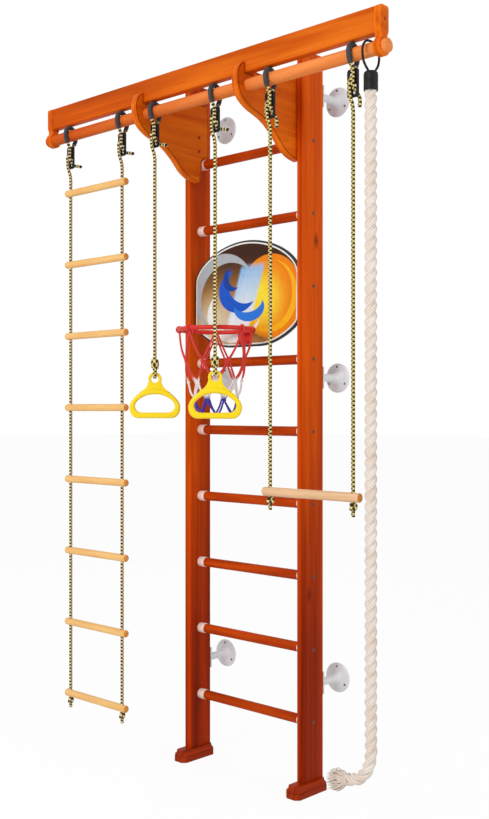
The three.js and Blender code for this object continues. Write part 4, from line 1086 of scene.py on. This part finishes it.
# hoop with its plate and screws
hoopSet = {"radius": 0.122, "rod": 0.0075, "y": -0.3223, "z": 1.533, "plate": (0.058, 0.062, 0.004),
           "plateRound": 0.006, "plateEdge": 0.001, "plateDrop": 0.0124, "plateY": -0.1828, "neck": 0.0406,
           "neckThickness": 0.0095, "neckEdge": 0.002, "lap": 0.001, "screw": (0.0038, 0.0018),
           "screwSpread": (0.021, 0.023), "screwFace": 0.0018}
t = np.linspace(0, 2 * np.pi, 96, endpoint=False)
ringLine = np.stack([hoopSet["radius"] * np.cos(t), hoopSet["radius"] * np.sin(t), 0 * t], axis=1)
rodPart = sweep(ringLine, evenGirth(hoopSet["rod"]), 16, closed=True)[:2]
wide, tall, thick = hoopSet["plate"]
plate = slab([centredRectangle(wide, tall, hoopSet["plateRound"])], thick, "y", hoopSet["plateEdge"])
platePart = shifted(plate, (0, hoopSet["plateY"] - hoopSet["y"], -hoopSet["plateDrop"]))
neckBack = hoopSet["plateY"] + hoopSet["lap"] - hoopSet["y"]
neckFront = hoopSet["radius"] - hoopSet["lap"]
neckLine = [(-0.5 * hoopSet["neck"], neckFront), (0.5 * hoopSet["neck"], neckFront),
            (0.36 * hoopSet["neck"], neckBack), (-0.36 * hoopSet["neck"], neckBack)]
neckPart = slab([neckLine], hoopSet["neckThickness"], "z", hoopSet["neckEdge"])
body = shifted(joined([rodPart, platePart, neckPart]), (0, hoopSet["y"], hoopSet["z"]))
hoop = newPiece("hoop", *body, hoopPaint, "frame", "red_paint")
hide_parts("hoop")
head = lathe(facing(screwHead(*hoopSet["screw"]), -1), "y", 18)
acrossScrews, upScrews = hoopSet["screwSpread"]
heads = [shifted(head, (x * acrossScrews, hoopSet["plateY"] - hoopSet["screwFace"],
                        hoopSet["z"] - hoopSet["plateDrop"] + z * upScrews))
         for x in (-1, 1) for z in (-1, 1)]
newPiece("hoopScrews", *joined(heads), darkScrew, "frame", "red_paint")

# knotted net under the hoop
netSet = {"strands": 8, "cord": 0.007, "twist": 0.012, "drops": [0.0, 0.100, 0.165, 0.222, 0.275],
          "radii": [0.122, 0.103, 0.088, 0.076, 0.073], "top": -0.0093, "shake": 0.0035, "seed": 3,
          "bow": 1.04, "sag": 0.004, "loopCord": 0.0026, "knotCord": 0.003, "knotDepth": 0.003,
          "knotWidth": 0.0048, "knotWave": 0.0016, "whiteFrom": (0.158, 0.170), "blueFrom": (0.222, 0.234)}


def netMaterial():
    made, tree, shader = newMaterial("netTwine", Sheen_Weight=0.2, Roughness=0.85)
    drop = minus(tree, hoopSet["z"], splitPlace(tree)[2])
    upper = mixColour(tree, remap(tree, drop, *netSet["whiteFrom"]), tone("e0342c"), tone("f4f0f0"))
    colour = mixColour(tree, remap(tree, drop, *netSet["blueFrom"]), upper, tone("3a30ad"))
    lay = layPlace(tree)
    wound = plus(tree, times(tree, lay[0], 2 * math.pi / netSet["twist"]), times(tree, lay[1], math.pi))
    ply = mathNode(tree, "ABSOLUTE", mathNode(tree, "SINE", wound))
    # painted shade: the twine darkens in the grooves between its plies
    dark = mixColour(tree, 1.0, colour, (0.5, 0.45, 0.45, 1), "MULTIPLY")
    colour = mixColour(tree, remap(tree, ply, 0.0, 0.4, 0.35, 1.0), dark, colour)
    dressShader(tree, shader, colour, None, ply, 0.5, 0.0006)
    return made


def twineGirth(run, angle):
    return netSet["cord"] / 2 * (0.93 + 0.07 * np.cos(2 * (angle - 2 * np.pi * run / netSet["twist"])))


netParts = []
step = math.pi / netSet["strands"]
netChance = np.random.default_rng(netSet["seed"])
netKnots = {}
for row, (drop, radius) in enumerate(zip(netSet["drops"], netSet["radii"])):
    for k in range(row % 2, 2 * netSet["strands"], 2):
        shake = netChance.normal(0, netSet["shake"], 3) * min(row, 1)
        spot = np.array([radius * math.cos(step * k), radius * math.sin(step * k), netSet["top"] - drop])
        netKnots[row, k] = spot + shake
for lean in (1, -1):
    for i in range(netSet["strands"]):
        points = []
        for row in range(len(netSet["drops"])):
            spot = netKnots[row, (2 * i + lean * row) % (2 * netSet["strands"])]
            if points:  # each mesh bows out and sags a little
                middle = (points[-1] + spot) / 2
                points.append(middle * np.array([netSet["bow"], netSet["bow"], 1])
                              - np.array([0, 0, netSet["sag"]]))
            points.append(spot)
        netParts.append(sweep(smoothRoute(points, 0.004), twineGirth, 8))
t = np.linspace(0, 2 * np.pi, 20, endpoint=False)
for (row, k), (x, y, z) in netKnots.items():
    c, n = math.cos(step * k), math.sin(step * k)
    if row == 0:  # loop over the hoop
        wide = hoopSet["rod"] + netSet["loopCord"]
        out = hoopSet["radius"] + wide * np.cos(t)
        wrap = np.stack([out * c, out * n, wide * np.sin(t)], axis=1)
        girth = evenGirth(netSet["loopCord"])
    else:
        out, along = netSet["knotDepth"] * np.cos(t), netSet["knotWidth"] * np.sin(t)
        wrap = np.stack([x + out * c - along * n, y + out * n + along * c,
                         z + netSet["knotWave"] * np.sin(2 * t)], axis=1)
        girth = evenGirth(netSet["knotCord"])
    netParts.append(sweep(wrap, girth, 8, closed=True))
verts, faces, cover = joinedLays(netParts)
net = newPiece("hoopNet", *shifted((verts, faces), (0, hoopSet["y"], hoopSet["z"])), netMaterial(), "frame",
               "net_twine", 60, cover)
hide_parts("net")
print("hoop set built")

# floor, world and lamps
studioSet = {"world": 0.56, "floor": 40, "floorDrop": 0.0005, "floorGlow": 1.05, "glowShare": 0.85}
lampSet = {"keyLamp": {"place": (0.8, -7.0, 4.2), "target": (0, -0.3, 1.3), "power": 225, "size": 3.0},
           "fillLamp": {"place": (5.5, 0.6, 2.6), "target": (0, -0.3, 1.2), "power": 46, "size": 2.6}}


def seenDirectly(tree):  # by the camera, in a gloss or through a clear face
    path = addNode(tree, "ShaderNodeLightPath").outputs
    return plus(tree, plus(tree, path["Is Camera Ray"], path["Is Glossy Ray"]), path["Is Transmission Ray"],
                clamp=True)


def makeStage():
    made, tree, shader = newMaterial("paleFloor", Roughness=0.9, Base_Color=(0.86, 0.86, 0.86, 1))
    glow = addNode(tree, "ShaderNodeEmission", {"Color": (1, 1, 1, 1), "Strength": studioSet["floorGlow"]})
    share = times(tree, seenDirectly(tree), studioSet["glowShare"])
    blend = addNode(tree, "ShaderNodeMixShader", {0: share, 1: shader.outputs[0], 2: glow.outputs[0]})
    tree.links.new(blend.outputs[0], tree.nodes["Material Output"].inputs["Surface"])
    mesh = bpy.data.meshes.new("paleFloor")
    reach, z = studioSet["floor"], -studioSet["floorDrop"]
    mesh.from_pydata([(-reach, -reach, z), (reach, -reach, z), (reach, reach, z), (-reach, reach, z)], [],
                     [(0, 1, 2, 3)])
    mesh.materials.append(made)
    floor = bpy.data.objects.new("paleFloor", mesh)
    scene.collection.objects.link(floor)


def makeWorld():
    world = bpy.data.worlds.new("studio")
    scene.world = world
    world.use_nodes = True
    tree = world.node_tree
    strength = addNode(tree, "ShaderNodeMapRange", {0: seenDirectly(tree), 3: studioSet["world"], 4: 1.0})
    shown = tree.nodes["Background"]
    shown.inputs["Color"].default_value = (1, 1, 1, 1)
    tree.links.new(strength.outputs[0], shown.inputs["Strength"])


def areaLamp(name, place, target, power, size):
    data = bpy.data.lights.new(name, "AREA")
    data.energy = power
    data.size = size
    lamp = bpy.data.objects.new(name, data)
    lamp.location = place
    aim = np.subtract(target, place)
    flat = math.hypot(aim[0], aim[1])
    lamp.rotation_euler = (math.atan2(flat, -aim[2]), 0, math.atan2(aim[1], aim[0]) - math.pi / 2)
    scene.collection.objects.link(lamp)


makeStage()
makeWorld()
for name, settings in lampSet.items():
    areaLamp(name, **settings)
scene.view_settings.view_transform = "Standard"
print("studio lit")
